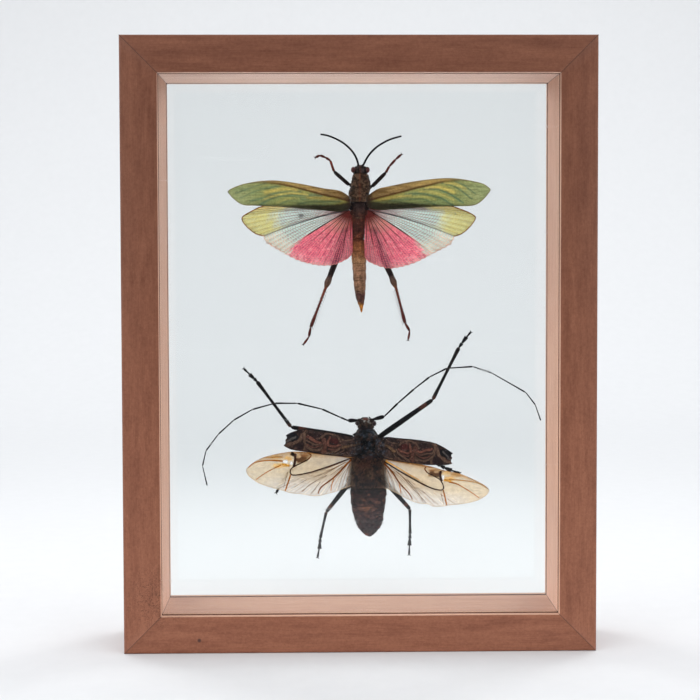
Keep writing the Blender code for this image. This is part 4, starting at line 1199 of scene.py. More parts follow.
BEETLE_ANTENNAE = {  # the two ends of the thick first joint, then the ends of the thin ones
    "left": ([(-0.4, 121.5), (-5.9, 121.4)],
             [(-9.9, 123.1), (-20.4, 127.9), (-34.1, 131.2), (-46.5, 131.3), (-59.1, 127.9),
              (-69.5, 122.0), (-78.1, 114.2), (-85.1, 104.9), (-87.1, 96.4), (-84.6, 85.4)]),
    "right": ([(7.8, 121.9), (14.3, 123.6)],
              [(21.9, 131.0), (31.0, 138.9), (39.6, 145.6), (49.3, 150.4), (63.8, 151.3), (74.3, 147.7),
               (93.4, 136.7), (98.7, 129.8), (101.8, 120.9)]),
}
BEETLE_LEGS = {
    "fore_leg_left": (111.0, (-37.8, 117.3), (-56.9, 143.2), [(-59.8, 146.0), (-63.9, 150.1)]),
    "fore_leg_right": (111.4, (41.8, 132.4), (56.6, 161.8), [(59.9, 166.4), (63.0, 170.1)]),
    "mid_leg_left": (100.0, (-20.5, 106.3), (-39.1, 92.3), [(-42.8, 86.5), (-46.2, 80.4)]),
    "mid_leg_right": (100.0, (31.0, 104.0), (46.1, 95.0), [(51.0, 92.8), (56.9, 90.9)]),
    "hind_leg_left": (86.0, (-18.2, 69.3), (-21.6, 54.5), [(-22.0, 49.9), (-23.1, 43.8)]),
    "hind_leg_right": (86.0, (28.9, 70.6), (29.0, 56.5), [(28.7, 51.5), (28.4, 45.1)]),
}
BEETLE_GIRTHS = {"fore": (1.5, 1.0, 0.95), "mid": (1.3, 0.8, 1.05), "hind": (1.35, 0.8, 0.9)}

ELYTRON_EDGES = {  # leading edge and trailing edge, from the hinge to the tip
    "left": (
        [(0.8, 111.9), (-3.7, 112.9), (-10.4, 114.1), (-17.5, 115.5), (-24.6, 116.6), (-29.5, 117.5),
         (-34.5, 116.6), (-38.1, 115.3), (-40.5, 113.8)],
        [(1.4, 104.4), (-2.0, 102.4), (-5.1, 101.8), (-10.4, 102.2), (-17.5, 102.9), (-24.6, 104.0),
         (-29.9, 104.9), (-35.2, 105.6), (-38.8, 106.5), (-41.7, 108.3)]),
    "right": (
        [(9.4, 111.8), (15.4, 112.7), (22.1, 112.1), (29.2, 111.5), (36.3, 110.5), (41.6, 109.4),
         (45.2, 107.9), (48.7, 105.9), (52.1, 103.4)],
        [(8.8, 104.4), (12.0, 101.6), (16.1, 100.2), (20.3, 99.5), (25.6, 98.7), (30.9, 98.0),
         (36.3, 97.3), (43.4, 97.1), (48.7, 97.0), (51.7, 97.7)]),
}
ELYTRON_DEPTHS = (4.2, 3.0)
ELYTRON_CAMBER = 1.6
ELYTRON_THICKNESS = 0.7
ELYTRON_BREADTH = 14
ELYTRON_START = 60  # grid column from which the case's axis runs to the tip
# Saw cut at the tip: share of the breadth, depth of the cut
ELYTRON_TIP = [(0.0, 0.0), (0.12, 0.75), (0.25, 0.9), (0.45, 0.3), (0.6, 0.7), (0.8, 0.8), (1.0, 0.0)]
# Bands of the pattern: millimetres from the tip inwards and up from the middle line, half width, tint
OLIVE, SALMON, RUST, STEEL = srgb(98, 74, 61), srgb(114, 70, 57), srgb(94, 60, 49), srgb(84, 78, 76)
ELYTRON_BANDS = [
    ([(11.6, 6.4), (9.6, 3.8), (7.7, 0.6), (1.9, -2.3), (0.5, -3.1)], 0.85, OLIVE),
    ([(1.4, -0.5), (3.6, 1.2), (5.7, 2.7)], 0.42, STEEL),
    ([(11.1, 6.7), (10.5, 3.4), (11.2, -0.8), (11.5, -4.3)], 0.62, OLIVE),
    ([(12.2, 3.6), (14.5, 2.6), (16.6, 1.5), (20.2, 0.8)], 0.6, SALMON),
    ([(11.5, 1.4), (13.7, 0.8), (17.3, -0.4), (20.8, 0.2)], 0.34, OLIVE),
    ([(11.5, -0.6), (13.2, -2.6), (16.2, -3.7), (20.3, -3.3), (21.4, -1.7)], 0.7, OLIVE),
    ([(12.7, -0.6), (15.0, -1.8), (17.5, -2.0), (20.2, -0.8)], 0.34, RUST),
    ([(21.4, 2.8), (22.4, 0.2), (22.4, -2.0), (21.6, -4.4)], 1.1, RUST),
    ([(22.4, -2.4), (23.4, -4.6)], 0.6, RUST),
    ([(19.4, 3.0), (21.5, 4.9), (23.4, 5.8), (26.2, 5.8), (29.0, 5.0), (30.8, 2.5)], 0.42, OLIVE),
    ([(24.9, 4.0), (23.9, 1.2), (24.5, -0.4)], 0.5, SALMON),
    ([(24.5, -0.4), (27.2, -0.6), (30.6, 0.5)], 0.5, SALMON),
    ([(24.6, -2.2), (27.6, -2.4), (30.0, -1.0)], 0.3, RUST),
    ([(23.4, -4.9), (26.1, -3.7), (29.5, -2.2), (32.0, 0.2)], 0.46, OLIVE),
    ([(26.0, -5.6), (29.4, -4.6), (33.0, -2.0)], 0.36, OLIVE),
    ([(32.3, -0.9), (36.0, 0.7), (41.0, 2.0)], 0.6, srgb(108, 80, 57)),
    ([(33.3, -5.1), (36.4, -5.0), (39.4, -3.7)], 0.45, OLIVE),
    ([(31.5, 3.4), (34.6, 3.4), (38.0, 4.4)], 0.3, OLIVE),
    ([(13.0, 6.6), (18.0, 6.4), (24.0, 7.2), (31.0, 6.7)], 0.3, srgb(66, 54, 50)),
]
# Dark places between the bands: centre, half sizes, tint
ELYTRON_SPOTS = [((27.6, 2.3), (2.6, 1.6), srgb(62, 24, 24)), ((4.3, 2.2), (3.8, 2.5), srgb(16, 18, 24)),
                 ((8.9, -2.3), (2.0, 2.6), srgb(38, 24, 26)), ((16.5, 4.6), (3.6, 1.2), srgb(38, 24, 25))]

HIND_EDGES = {  # leading edge and trailing edge, from the hinge to the tip
    "left": (
        [(-3.4, 101.6), (-11.2, 102.6), (-21.6, 103.3), (-35.2, 104.2), (-42.4, 103.5), (-47.7, 102.5),
         (-52.6, 101.2), (-57.0, 99.2), (-60.6, 96.7), (-62.8, 94.3)],
        [(-3.8, 85.6), (-5.9, 84.6), (-9.5, 83.1), (-13.6, 81.7), (-18.0, 80.6), (-22.0, 79.6),
         (-26.9, 79.6), (-31.3, 80.5), (-38.0, 81.2), (-42.5, 82.6), (-49.1, 84.4), (-54.4, 86.2),
         (-58.0, 88.2), (-61.5, 91.1), (-62.8, 93.9)]),
    "right": (
        [(13.8, 100.2), (23.0, 98.8), (31.4, 97.3), (41.0, 95.3), (46.1, 93.7), (50.3, 92.7), (56.3, 91.4),
         (61.9, 89.1), (67.5, 86.4), (71.2, 84.1), (72.9, 82.1)],
        [(14.2, 83.6), (17.8, 82.5), (21.6, 80.6), (23.8, 79.2), (29.4, 76.4), (34.0, 74.9), (38.7, 74.5),
         (41.5, 73.2), (46.1, 73.2), (50.3, 73.8), (57.3, 74.5), (64.2, 75.8), (68.0, 77.3), (71.2, 79.4),
         (72.9, 81.7)]),
}
HIND_DEPTHS = (7.6, 7.0)
HIND_CAMBER = 0.3
HIND_TONES = {"left": 0.83, "right": 0.96}
HIND_THICKNESS = 0.09
HIND_VEIN_Y, HIND_FOLD_Y = HIND_DEPTHS[1] - 0.3, HIND_DEPTHS[1] - 0.22
INK, AMBER, BRONZE, HAIRLINE = srgb(52, 27, 16), srgb(158, 90, 2), srgb(116, 58, 2), srgb(104, 72, 44)
STRAW, UMBER, GOLD = srgb(168, 118, 62), srgb(56, 30, 18), srgb(206, 148, 60)
CHESTNUT, FAWN, BISCUIT = srgb(98, 54, 26), srgb(160, 104, 62), srgb(222, 186, 140)
PITCH, HONEY = srgb(26, 18, 16), srgb(238, 176, 72)
# PAINTED_HIGHLIGHT is the white of painted highlights on the hind wings' glossy skin
PAINTED_HIGHLIGHT, OCHRE = srgb(252, 248, 240), srgb(206, 156, 92)
# Veins of the hind wings: points, half width at start and end, tint
HIND_VEINS = {
    "left": [
        ([(-3.9, 100.7), (-15.7, 96.3), (-24.6, 93.4), (-31.3, 91.7), (-36.2, 91.2), (-38.0, 92.1),
          (-38.0, 94.2), (-36.2, 95.9), (-32.6, 97.7), (-28.2, 99.9)], 0.36, 0.26, INK),
        ([(-38.0, 91.5), (-39.4, 87.2), (-41.1, 82.3)], 0.36, 0.3, AMBER),
        ([(-39.7, 92.8), (-40.8, 88.5), (-42.0, 83.9)], 0.14, 0.1, HAIRLINE),
        ([(-4.1, 99.9), (-13.9, 89.8), (-21.1, 84.3), (-22.6, 80.6)], 0.42, 0.24, BRONZE),
        ([(-13.9, 89.5), (-15.0, 86.0), (-15.7, 82.2)], 0.24, 0.2, AMBER),
        ([(-17.9, 90.9), (-26.9, 86.1), (-31.8, 81.6)], 0.16, 0.12, HAIRLINE),
        ([(-21.5, 87.3), (-26.9, 80.4)], 0.14, 0.12, HAIRLINE),
        ([(-7.0, 98.3), (-19.0, 92.3), (-29.0, 88.6), (-36.5, 84.0)], 0.12, 0.08, HAIRLINE),
        ([(-4.4, 97.6), (-9.0, 91.0), (-11.4, 83.0)], 0.12, 0.1, HAIRLINE),
        ([(-3.9, 101.0), (-20.0, 102.9), (-35.0, 103.9)], 0.42, 0.3, STRAW),
        ([(-28.2, 99.9), (-26.6, 102.2), (-28.4, 103.6)], 0.3, 0.3, BRONZE),
        ([(-36.2, 95.9), (-35.6, 99.0), (-35.2, 103.4)], 0.6, 0.55, UMBER),
        ([(-42.4, 99.1), (-50.6, 99.5), (-57.9, 98.3), (-61.5, 95.4)], 0.36, 0.14, AMBER),
        ([(-43.3, 96.9), (-51.3, 92.9), (-57.5, 88.6)], 0.26, 0.16, AMBER),
        ([(-42.0, 101.4), (-52.0, 101.0)], 0.3, 0.2, srgb(170, 122, 64)),
        ([(-38.6, 96.4), (-42.8, 97.4)], 0.6, 0.5, GOLD),
    ],
    "right": [
        ([(13.9, 98.7), (24.8, 91.8), (34.0, 86.6), (41.0, 83.3), (46.1, 82.4), (47.3, 84.2),
          (46.1, 87.0), (44.3, 88.9), (38.2, 92.2)], 0.36, 0.26, INK),
        ([(47.1, 82.4), (48.2, 78.0), (49.1, 73.7)], 0.36, 0.3, AMBER),
        ([(45.6, 81.6), (46.6, 77.6), (47.4, 74.4)], 0.14, 0.1, HAIRLINE),
        ([(13.8, 97.6), (18.3, 93.2), (22.5, 86.7), (28.0, 80.6), (29.9, 77.1)], 0.42, 0.24, BRONZE),
        ([(22.5, 86.7), (23.6, 80.1)], 0.24, 0.2, AMBER),
        ([(15.0, 98.9), (20.8, 95.6), (26.7, 92.0), (34.0, 87.9)], 0.36, 0.16, srgb(206, 144, 52)),
        ([(24.0, 90.2), (30.0, 83.5), (35.5, 77.5), (37.5, 75.0)], 0.16, 0.12, HAIRLINE),
        ([(27.0, 88.6), (33.0, 81.0), (36.0, 75.4)], 0.14, 0.1, HAIRLINE),
        ([(20.5, 93.0), (29.0, 86.0), (37.5, 80.0), (42.5, 75.0)], 0.12, 0.08, HAIRLINE),
        ([(15.0, 95.0), (18.6, 89.0), (20.4, 82.0)], 0.12, 0.1, HAIRLINE),
        ([(15.2, 99.7), (31.4, 96.9), (41.0, 95.0)], 0.42, 0.3, STRAW),
        ([(38.2, 92.2), (36.8, 94.2), (37.6, 95.4)], 0.3, 0.3, BRONZE),
        ([(46.2, 87.4), (45.4, 90.6), (45.8, 93.2)], 0.6, 0.55, UMBER),
        ([(50.3, 86.9), (55.0, 85.6), (62.0, 81.5), (67.5, 77.6)], 0.36, 0.16, AMBER),
        ([(50.3, 88.4), (61.9, 87.2), (68.0, 85.5), (72.1, 82.7)], 0.3, 0.14, srgb(176, 130, 76)),
        ([(47.4, 88.0), (51.6, 87.4)], 0.6, 0.5, GOLD),
    ],
}
# Coloured places on the hind wings: centre, half sizes, tint, how much of it, how much cover it adds. The
# white ones are painted highlights.
HIND_PATCHES = {
    "left": [((-32.2, 100.2), (3.9, 2.5), CHESTNUT, 0.92, 0.4),
             ((-30.4, 102.2), (3.0, 0.8), FAWN, 0.75, 0.1),
             ((-33.8, 101.6), (1.6, 0.9), BISCUIT, 0.8, -0.1),
             ((-36.8, 102.8), (1.4, 1.3), srgb(20, 13, 12), 0.98, 0.5),
             ((-35.2, 99.6), (0.8, 0.8), PITCH, 0.95, 0.5),
             ((-44.0, 96.6), (4.6, 1.5), HONEY, 0.8, 0.1),
             ((-39.6, 100.4), (2.6, 1.4), srgb(232, 170, 74), 0.75, 0.1),
             ((-40.9, 98.8), (1.5, 0.9), PAINTED_HIGHLIGHT, 0.95, -0.55),
             ((-37.6, 98.0), (0.7, 1.2), PAINTED_HIGHLIGHT, 0.95, -0.5),
             ((-46.0, 100.6), (3.6, 1.8), OCHRE, 0.6, 0.1)],
    "right": [((42.6, 91.6), (3.9, 2.1), CHESTNUT, 0.92, 0.4),
              ((41.0, 93.5), (2.6, 0.7), FAWN, 0.75, 0.1),
              ((43.2, 92.6), (1.4, 0.8), BISCUIT, 0.8, -0.1),
              ((46.9, 93.9), (1.1, 1.3), PITCH, 0.95, 0.5),
              ((50.6, 88.4), (3.4, 1.6), HONEY, 0.8, 0.1),
              ((49.0, 91.6), (2.4, 1.2), srgb(236, 184, 96), 0.8, 0.0),
              ((47.0, 89.4), (0.7, 1.6), PAINTED_HIGHLIGHT, 0.95, -0.5),
              ((54.0, 90.6), (3.6, 1.3), OCHRE, 0.6, 0.1)],
}
BROWN_HAIR = srgb(14, 12, 16), srgb(106, 72, 54)
OCHRE_HAIR = srgb(40, 32, 30), srgb(122, 98, 80)
GREY_HAIR = srgb(64, 56, 54), srgb(136, 124, 114)
# Hairs of a body: seed, number, heights, angles in half turns, lengths, tints, how far they stand
# out, and radius
THORAX_HAIRS = [
    (1, 2600, (84.0, 101.5), (1.08, 1.92), (0.8, 1.7), BROWN_HAIR, 0.45, 0.06),
    (2, 1500, (84.0, 101.0), (0.99, 1.12), (1.2, 2.6), OCHRE_HAIR, 0.8, 0.1),
    (3, 1500, (84.0, 101.0), (1.88, 2.01), (1.2, 2.6), OCHRE_HAIR, 0.8, 0.1),
    (4, 900, (84.0, 101.5), (0.1, 0.9), (0.8, 1.5), BROWN_HAIR, 0.45, 0.045),
    (5, 1100, (84.0, 91.0), (0.96, 1.1), (1.8, 3.4), GREY_HAIR, 1.0, 0.1),
    (6, 1100, (84.0, 91.0), (1.9, 2.04), (1.8, 3.4), GREY_HAIR, 1.0, 0.1),
    (10, 450, (84.0, 100.0), (1.1, 1.26), (1.2, 2.6), OCHRE_HAIR, 1.1, 0.07),
    (11, 450, (84.0, 100.0), (1.74, 1.9), (1.2, 2.6), OCHRE_HAIR, 1.1, 0.07),
    (8, 500, (101.0, 108.0), (1.0, 1.2), (1.0, 2.2), BROWN_HAIR, 0.9, 0.1),
    (9, 500, (101.0, 108.0), (1.8, 2.0), (1.0, 2.2), BROWN_HAIR, 0.9, 0.1),
]
ABDOMEN_HAIRS = [(7, 900, (58.0, 83.0), (0.0, 2.0), (0.5, 1.1), BROWN_HAIR, 0.3, 0.045)]


def beetle_head_look(points, facing):
    """Dark brown head with pale flecks near the mouth."""
    z = points[..., 2]
    rough = lumps(points, 0.6) * 0.5 + lumps(points, 1.2, 4.0) * 0.5
    tint = mix(srgb(24, 22, 24), srgb(84, 66, 54), smooth(0.35, 0.75, rough))
    tint = mix(tint, srgb(32, 28, 32), 0.7 * smooth(119.0, 117.6, z) * smooth(0.5, 0.9, facing))
    fleck = smooth(0.5, 0.68, lumps(points, 0.9, 7.0)) * smooth(119.4, 121.0, z)
    tint = mix(tint, srgb(158, 158, 152), 0.75 * fleck)
    return 0.45 * (rough - 0.5) - 0.3 * ridge(points[..., 0], 3.9, 0.5) * smooth(0.4, 0.9, facing), tint


def blue_black(points):
    """Coarse relief and blue-black tint with brown flecks, of the collar and the front of the thorax."""
    rough = lumps(points, 1.2) * 0.5 + lumps(points, 0.6, 3.0) * 0.5
    tint = mix(srgb(8, 11, 16), srgb(64, 72, 84), smooth(0.42, 0.8, rough))
    fleck = smooth(0.58, 0.76, lumps(points, 1.1, 5.0))
    return rough - 0.5, mix(tint, srgb(78, 58, 48), 0.6 * fleck)


def beetle_collar_look(points, facing):
    """Blue-black collar, coarsely knobbed."""
    relief, tint = blue_black(points)
    knobs = ridge(np.abs(points[..., 0] - 4.3), 3.4, 1.0) * ridge(points[..., 2], 113.2, 1.0)
    side = smooth(2.6, 5.2, np.abs(points[..., 0] - 4.3)) * smooth(114.0, 112.0, points[..., 2])
    tint = mix(tint, srgb(84, 62, 50), 0.6 * side)
    return 0.6 * relief + 0.3 * knobs * smooth(0.2, 0.8, facing), tint


def beetle_thorax_look(points, facing):
    """Wing-bearing thorax: blue-black in front, then red-brown and patched, with greyer sides."""
    x, z = points[..., 0], points[..., 2]
    rough = lumps(points, 0.7) * 0.5 + lumps(points, 1.5, 2.0) * 0.5
    black_relief, black = blue_black(points)
    tint = stops(z, (83.6, srgb(46, 36, 38)), (87.0, srgb(50, 38, 38)), (92.0, srgb(68, 46, 40)),
                 (98.0, srgb(76, 46, 38)), (101.0, srgb(56, 36, 34)))
    side = smooth(4.0, 8.5, np.abs(x - 5.1))
    tint = mix(tint, srgb(92, 78, 68), 0.6 * side)
    tint = mix(tint, srgb(20, 22, 28), 0.9 * smooth(0.5, 0.66, lumps(points, 1.9, 6.0)))
    tint = mix(tint, srgb(116, 80, 58), 0.6 * smooth(0.62, 0.82, lumps(points, 1.1, 12.0)))
    spot = ridge(x, 5.6, 1.8) * ridge(z, 91.8, 2.0) * smooth(0.3, 0.6, lumps(points, 0.9, 9.0))
    tint = mix(tint, srgb(160, 122, 90), 0.8 * spot) * (0.3 + 1.3 * rough)[..., None]
    front = smooth(100.6, 102.2, z + 2.6 * (lumps(points, 2.2, 5.0) - 0.5) - 0.12 * np.abs(x - 5.0))
    shield = ridge(x, 5.0, 2.6) * ridge(z, 100.2, 1.3)
    groove = ridge(x, 5.1, 0.4) * smooth(100.0, 98.0, z)
    relief = 0.7 * (rough - 0.5) * (1 - front) + 0.6 * black_relief * front
    return relief + 0.4 * shield - 0.35 * groove, mix(tint, black, front)


def beetle_abdomen_look(points, facing):
    """Leathery plum-brown abdomen with stepped segments."""
    x, z = points[..., 0], points[..., 2]
    step = segment_steps(z, BEETLE_SEGMENTS)
    rough = lumps(points * (1.0, 1.0, 1.6), 1.3) * 0.5 + lumps(points, 0.6, 6.0) * 0.5
    tint = stops(z, (55.6, srgb(52, 34, 38)), (62.0, srgb(74, 45, 50)), (68.0, srgb(94, 60, 60)),
                 (73.0, srgb(86, 52, 50)), (78.0, srgb(70, 38, 37)), (83.3, srgb(44, 30, 32)))
    tint = mix(tint, srgb(176, 110, 74), 0.9 * ridge(x, 4.4, 3.4) * ridge(z, 72.4, 1.5)
               + 0.3 * ridge(x, 3.0, 4.0) * ridge(z, 77.5, 1.5))
    tint = mix(tint, srgb(32, 27, 34), 0.6 * smooth(0.5, 0.75, lumps(points, 2.4, 1.0)))
    tint = mix(tint, srgb(140, 82, 66), 0.6 * smooth(0.6, 0.8, lumps(points, 1.4, 15.0)))
    seam = smooth(0.2, 0.0, step)
    wrinkle = np.sin(z * 7.0 + 3.0 * lumps(points, 3.0, 2.0)) * 0.05
    return (0.42 * (step - 0.6) + 0.6 * (rough - 0.5) + wrinkle,
            tint * (smooth(0.15, 1.0, rough) * 2.1 * (1 - 0.6 * seam))[..., None])


def add_hairs(shape, sections, seed, count, heights, half_turns, lengths, tints, outward, girth):
    """Fine hairs that lean back from a body's surface, as three-sided spikes bent at the middle."""
    rng = np.random.default_rng(seed)
    z = rng.uniform(*heights, count)
    turn = rng.uniform(*np.pi * np.array(half_turns), count)
    section = section_at(sections, z)
    root = body_point(section, turn)
    centre = np.stack([section[:, 1], np.full(count, BODY_Y), z], axis=-1)
    normal = unit(root - centre)
    lean = unit(normal * outward + np.array([0, 0, -1.0]) + rng.normal(0, 0.3, (count, 3)))
    length = rng.uniform(*lengths, count)[:, None]
    side = unit(np.cross(lean, (0.0, 1.0, 0.3)))
    other = np.cross(lean, side)
    root = root - normal * 0.15
    corners = 2 * np.pi * np.arange(3) / 3
    spread = side[:, None] * np.cos(corners)[:, None] + other[:, None] * np.sin(corners)[:, None]
    ring = root[:, None] + spread * girth
    bend = (root + (normal * 0.35 + lean * 0.35) * length)[:, None] + spread * girth * 0.8
    tip = (root + (normal * 0.25 + lean * 0.85) * length)[:, None]
    points = np.concatenate([ring, bend, tip], axis=1)
    size = points.shape[1]
    spike = [face for a, b in ((0, 1), (1, 2), (2, 0))
             for face in ([a, b, 3 + b, 3 + a], [3 + a, 3 + b, 6])]
    faces = [[base + corner for corner in face]
             for base in range(0, count * size, size) for face in spike]
    patch = smooth(0.38, 0.62, lumps(root, 1.6, 6.0))  # light and dark tufts
    shade = np.clip(0.5 * rng.uniform(0, 1, count) + 0.75 * patch - 0.15, 0, 1)
    shape.add(points, faces, np.repeat(mix(*tints, shade), size, axis=0), 1)


def add_beetle_body(chitin):
    """Head, collar with side spines, hairy thorax and abdomen."""
    black = srgb(26, 24, 26)
    head = Shape()
    add_body(head, BEETLE_HEAD, beetle_head_look, 60)
    for centre, radii in BEETLE_EYES:
        add_ball(head, centre, radii, srgb(24, 24, 30), 1)
    add_ball(head, (3.8, 8.8, 122.0), (1.7, 1.9, 0.95), srgb(108, 68, 60))  # smooth upper lip
    for points in ([(7.6, 121.3), (6.6, 122.6), (5.6, 123.4)], [(1.0, 121.5), (1.5, 122.4), (2.2, 122.8)]):
        path = [(x, 9.2, z) for x, z in points]
        add_joint(head, path[0], path[1], (0.34, 0.3, 0.26), black, 8)
        add_joint(head, path[1], path[2], (0.24, 0.3, 0.2), black, 8)
    for way in (-1, 1):  # sockets of the feelers
        add_joint(head, (3.8 + way * 2.6, 8.4, 120.6), (3.8 + way * 4.4, ANTENNA_Y, 121.9),
                  (1.4, 1.3, 1.0), srgb(44, 36, 34), 14)
    head.make("beetle_head", "shell", [chitin["rough"], chitin["eye"]])

    collar = Shape()
    add_body(collar, BEETLE_PRONOTUM, beetle_collar_look, 70)
    for x, z in BEETLE_SPINES:
        way = math.copysign(1.0, x - 4.2)
        add_joint(collar, (x - way * 3.4, BODY_Y - 0.6, z + 0.1), (x, BODY_Y - 0.9, z + 0.2),
                  (1.7, 1.5, 0.9, 0.25), black, 14)
    collar.make("beetle_pronotum", "shell", [chitin["rough"]])

    thorax = Shape()
    add_body(thorax, BEETLE_THORAX, beetle_thorax_look, 130)
    for row in THORAX_HAIRS:
        add_hairs(thorax, BEETLE_THORAX, *row)
    thorax.make("beetle_thorax", "shell", [chitin["rough"], chitin["hair"]])

    abdomen = Shape()
    add_body(abdomen, BEETLE_ABDOMEN, beetle_abdomen_look, 170)
    for row in ABDOMEN_HAIRS:
        add_hairs(abdomen, BEETLE_ABDOMEN, *row)
    abdomen.make("beetle_abdomen", "shell", [chitin["leather"], chitin["hair"]])


def add_beetle_antennae(chitin):
    """Very long feelers: a club-shaped first joint, then nine thin ones with thickened ends."""
    black = srgb(22, 20, 24)
    shades = stops(np.linspace(0, 1, 21), (0, srgb(50, 38, 36)), (0.2, black), (1, srgb(14, 12, 16)))
    for side, (scape, route) in BEETLE_ANTENNAE.items():
        shape = Shape()
        base, *joints = at_depth([*scape, *route], ANTENNA_Y)
        add_joint(shape, base, joints[0], (0.65, 0.85, 1.1, 1.15, 0.9), black, 14, steps=20)
        girths = np.linspace(0.5, 0.29, len(joints))
        for start, end, girth in zip(joints, joints[1:], girths):
            add_joint(shape, start, end, np.multiply((0.85, 0.9, 0.95, 1.1, 1.3), girth), shades, 10,
                      steps=20)
        shape.make(f"beetle_antenna_{side}", "joints", [chitin["smooth"]])


def add_beetle_legs(chitin):
    """Strong dark legs with brown bands, lobed feet and claws."""
    black, brown, ring, worn = srgb(28, 29, 34), srgb(104, 66, 56), srgb(84, 56, 44), srgb(40, 32, 30)
    share = np.linspace(0, 1, 41)
    thighs = stops(share, (0.0, black), (0.74, black), (0.79, brown), (0.86, brown), (0.9, black),
                   (1.0, worn))
    shins = stops(share, (0.0, ring), (0.04, ring), (0.1, black), (1.0, srgb(30, 24, 26)))
    for name, leg in BEETLE_LEGS.items():
        pair = name.split("_")[0]
        thigh, shin, foot_girth = BEETLE_GIRTHS[pair]
        sections = BEETLE_PRONOTUM if pair == "fore" else BEETLE_THORAX
        hip, coxa, knee, ankle, *foot = leg_places(sections, leg)
        shape = Shape()
        add_joint(shape, hip, coxa, np.multiply((1.05, 1.05, 0.9), thigh), black, 14)
        add_joint(shape, coxa, knee, np.multiply((0.95, 1.05, 1.05, 1, 0.9, 0.85, 0.75), thigh), thighs,
                  16, 0.85, steps=40)
        add_joint(shape, knee, ankle, np.multiply((1.15, 0.95, 0.85, 0.85, 0.95, 1.2), shin), shins, 14,
                  steps=40)
        end, tip = foot
        way = unit(end - ankle)
        lobe_side = np.cross(way, (0.0, 1.0, 0.0))
        pads = [ankle, ankle + (end - ankle) * 0.5, end]
        for start, stop in zip(pads, pads[1:]):
            add_joint(shape, start, stop, np.multiply((0.6, 0.9, 1.2), foot_girth), black, 12)
        for sign in (-1, 1):
            lobe = end + way * 1.5 + lobe_side * sign * foot_girth * 1.1
            add_joint(shape, end - way * 0.4, lobe, np.multiply((0.6, 0.62, 0.4), foot_girth), worn, 10)
        add_joint(shape, end, tip, np.multiply((0.48, 0.46, 0.56, 0.85), foot_girth), black, 10)
        add_claws(shape, tip, unit(tip - end), 1.15, black)
        shape.make(f"beetle_{name}", "shell", [chitin["smooth"]])


def elytron_look(local, points):
    """Velvet-black wing case with a maze of olive, salmon and rust bands, dark towards its base."""
    wander = np.stack([lumps(points, 1.6, 3.0) + 0.4 * lumps(points, 0.7, 1.0),
                       lumps(points, 1.6, 8.0) + 0.4 * lumps(points, 0.7, 6.0)], axis=-1) - 0.7
    spot = local + wander * 0.8
    pile = lumps(points, 0.5) * 0.6 + lumps(points, 1.1, 2.0) * 0.4
    tint = mix(srgb(34, 24, 25), srgb(78, 56, 48), 0.75 * smooth(0.42, 0.72, lumps(points, 1.1, 14.0)))
    blotch = smooth(0.45, 0.75, lumps(points, 2.4, 6.0)) * smooth(28.0, 36.0, spot[..., 0])
    tint = mix(tint, srgb(62, 48, 42), 0.7 * blotch)
    for centre, size, colour in ELYTRON_SPOTS:
        off = np.linalg.norm((spot - centre) / size, axis=-1)
        tint = mix(tint, colour, 0.9 * smooth(1.15, 0.75, off))
    height = np.zeros(pile.shape)
    for line, width, colour in ELYTRON_BANDS:
        off = distance_to(spot, curve(line, 5))
        tint = tint * (1 - 0.55 * smooth(width + 0.6, width, off))[..., None]
        mark = smooth(width * 1.35, width * 0.55, off)
        tint = mix(tint, colour, (0.55 + 0.5 * lumps(points, 0.8, 11.0)) * mark)
        height = np.maximum(height, mark)
    base = smooth(34.5, 39.5, spot[..., 0])
    tint = mix(tint, blue_black(points)[1], 0.75 * base)
    return 0.1 * height + 0.12 * pile, tint * (0.4 + 1.15 * pile)[..., None]


def add_elytra(velvet):
    """The two raised wing cases with their saw-cut tips."""
    for side, edges in ELYTRON_EDGES.items():
        blade = Blade(edges, 300, 84)
        tip, base = ((blade.lead[column] + blade.trail[column]) / 2 for column in (-1, ELYTRON_START))
        inward = unit(base - tip)
        cut = np.interp(blade.across, *np.transpose(ELYTRON_TIP)) * smooth(0.92, 1.0, blade.along)
        blade.flat = blade.flat + inward * cut[..., None]
        upward = np.array([-inward[1], inward[0]]) * (1 if inward[0] > 0 else -1)
        local = np.stack([(blade.flat - tip) @ inward, (blade.flat - tip) @ upward], axis=-1)
        points = blade.points(ELYTRON_DEPTHS, blade.arch(ELYTRON_CAMBER))
        relief, tint = elytron_look(local, points)
        margin = smooth(0.5, 0.0, np.minimum(blade.across, 1 - blade.across) * ELYTRON_BREADTH)
        points[..., 1] -= relief + 0.12 * margin
        shape = Shape()
        add_sheet(shape, points, ELYTRON_THICKNESS, mix(tint, srgb(20, 15, 17), 0.7 * margin),
                  back_tint=tint * 0.6)
        shape.make(f"beetle_elytron_{side}", "case", [velvet])


def hind_look(side, points, along, across):
    """Tint and cover of a beetle's hind wing: tan skin, golden along the front, dark joint, and small white
    painted highlights on patches that are also left more see-through.
    """
    x, z = points[..., 0], points[..., 2]
    silk = lumps(points, 1.4)
    tint = stops(along, (0.0, srgb(216, 200, 182)), (0.12, srgb(208, 178, 140)),
                 (0.35, srgb(210, 176, 126)), (0.6, srgb(216, 186, 138)), (1.0, srgb(224, 198, 156)))
    pale = smooth(0.5, 0.9, across) * smooth(0.9, 0.5, along)
    tint = mix(tint, srgb(228, 214, 198), 0.7 * pale)
    front = smooth(0.16, 0.02, across)
    tint = mix(tint, srgb(204, 150, 90), 0.8 * front)
    cover = 0.58 + 0.2 * smooth(0.0, 0.2, along) + 0.06 * silk - 0.16 * pale + 0.1 * front
    for centre, size, colour, share, more in HIND_PATCHES[side]:
        off = np.hypot((x - centre[0]) / size[0], (z - centre[1]) / size[1])
        off = off + 0.5 * (lumps(points, 1.0, 5.0) - 0.5)
        mark = smooth(1.15, 0.7, off)
        tint, cover = mix(tint, colour, share * mark), cover + more * mark
    tint = tint * (HIND_TONES[side] * (0.86 + 0.24 * silk))[..., None]
    return tint, face_cover(cover + 0.04)


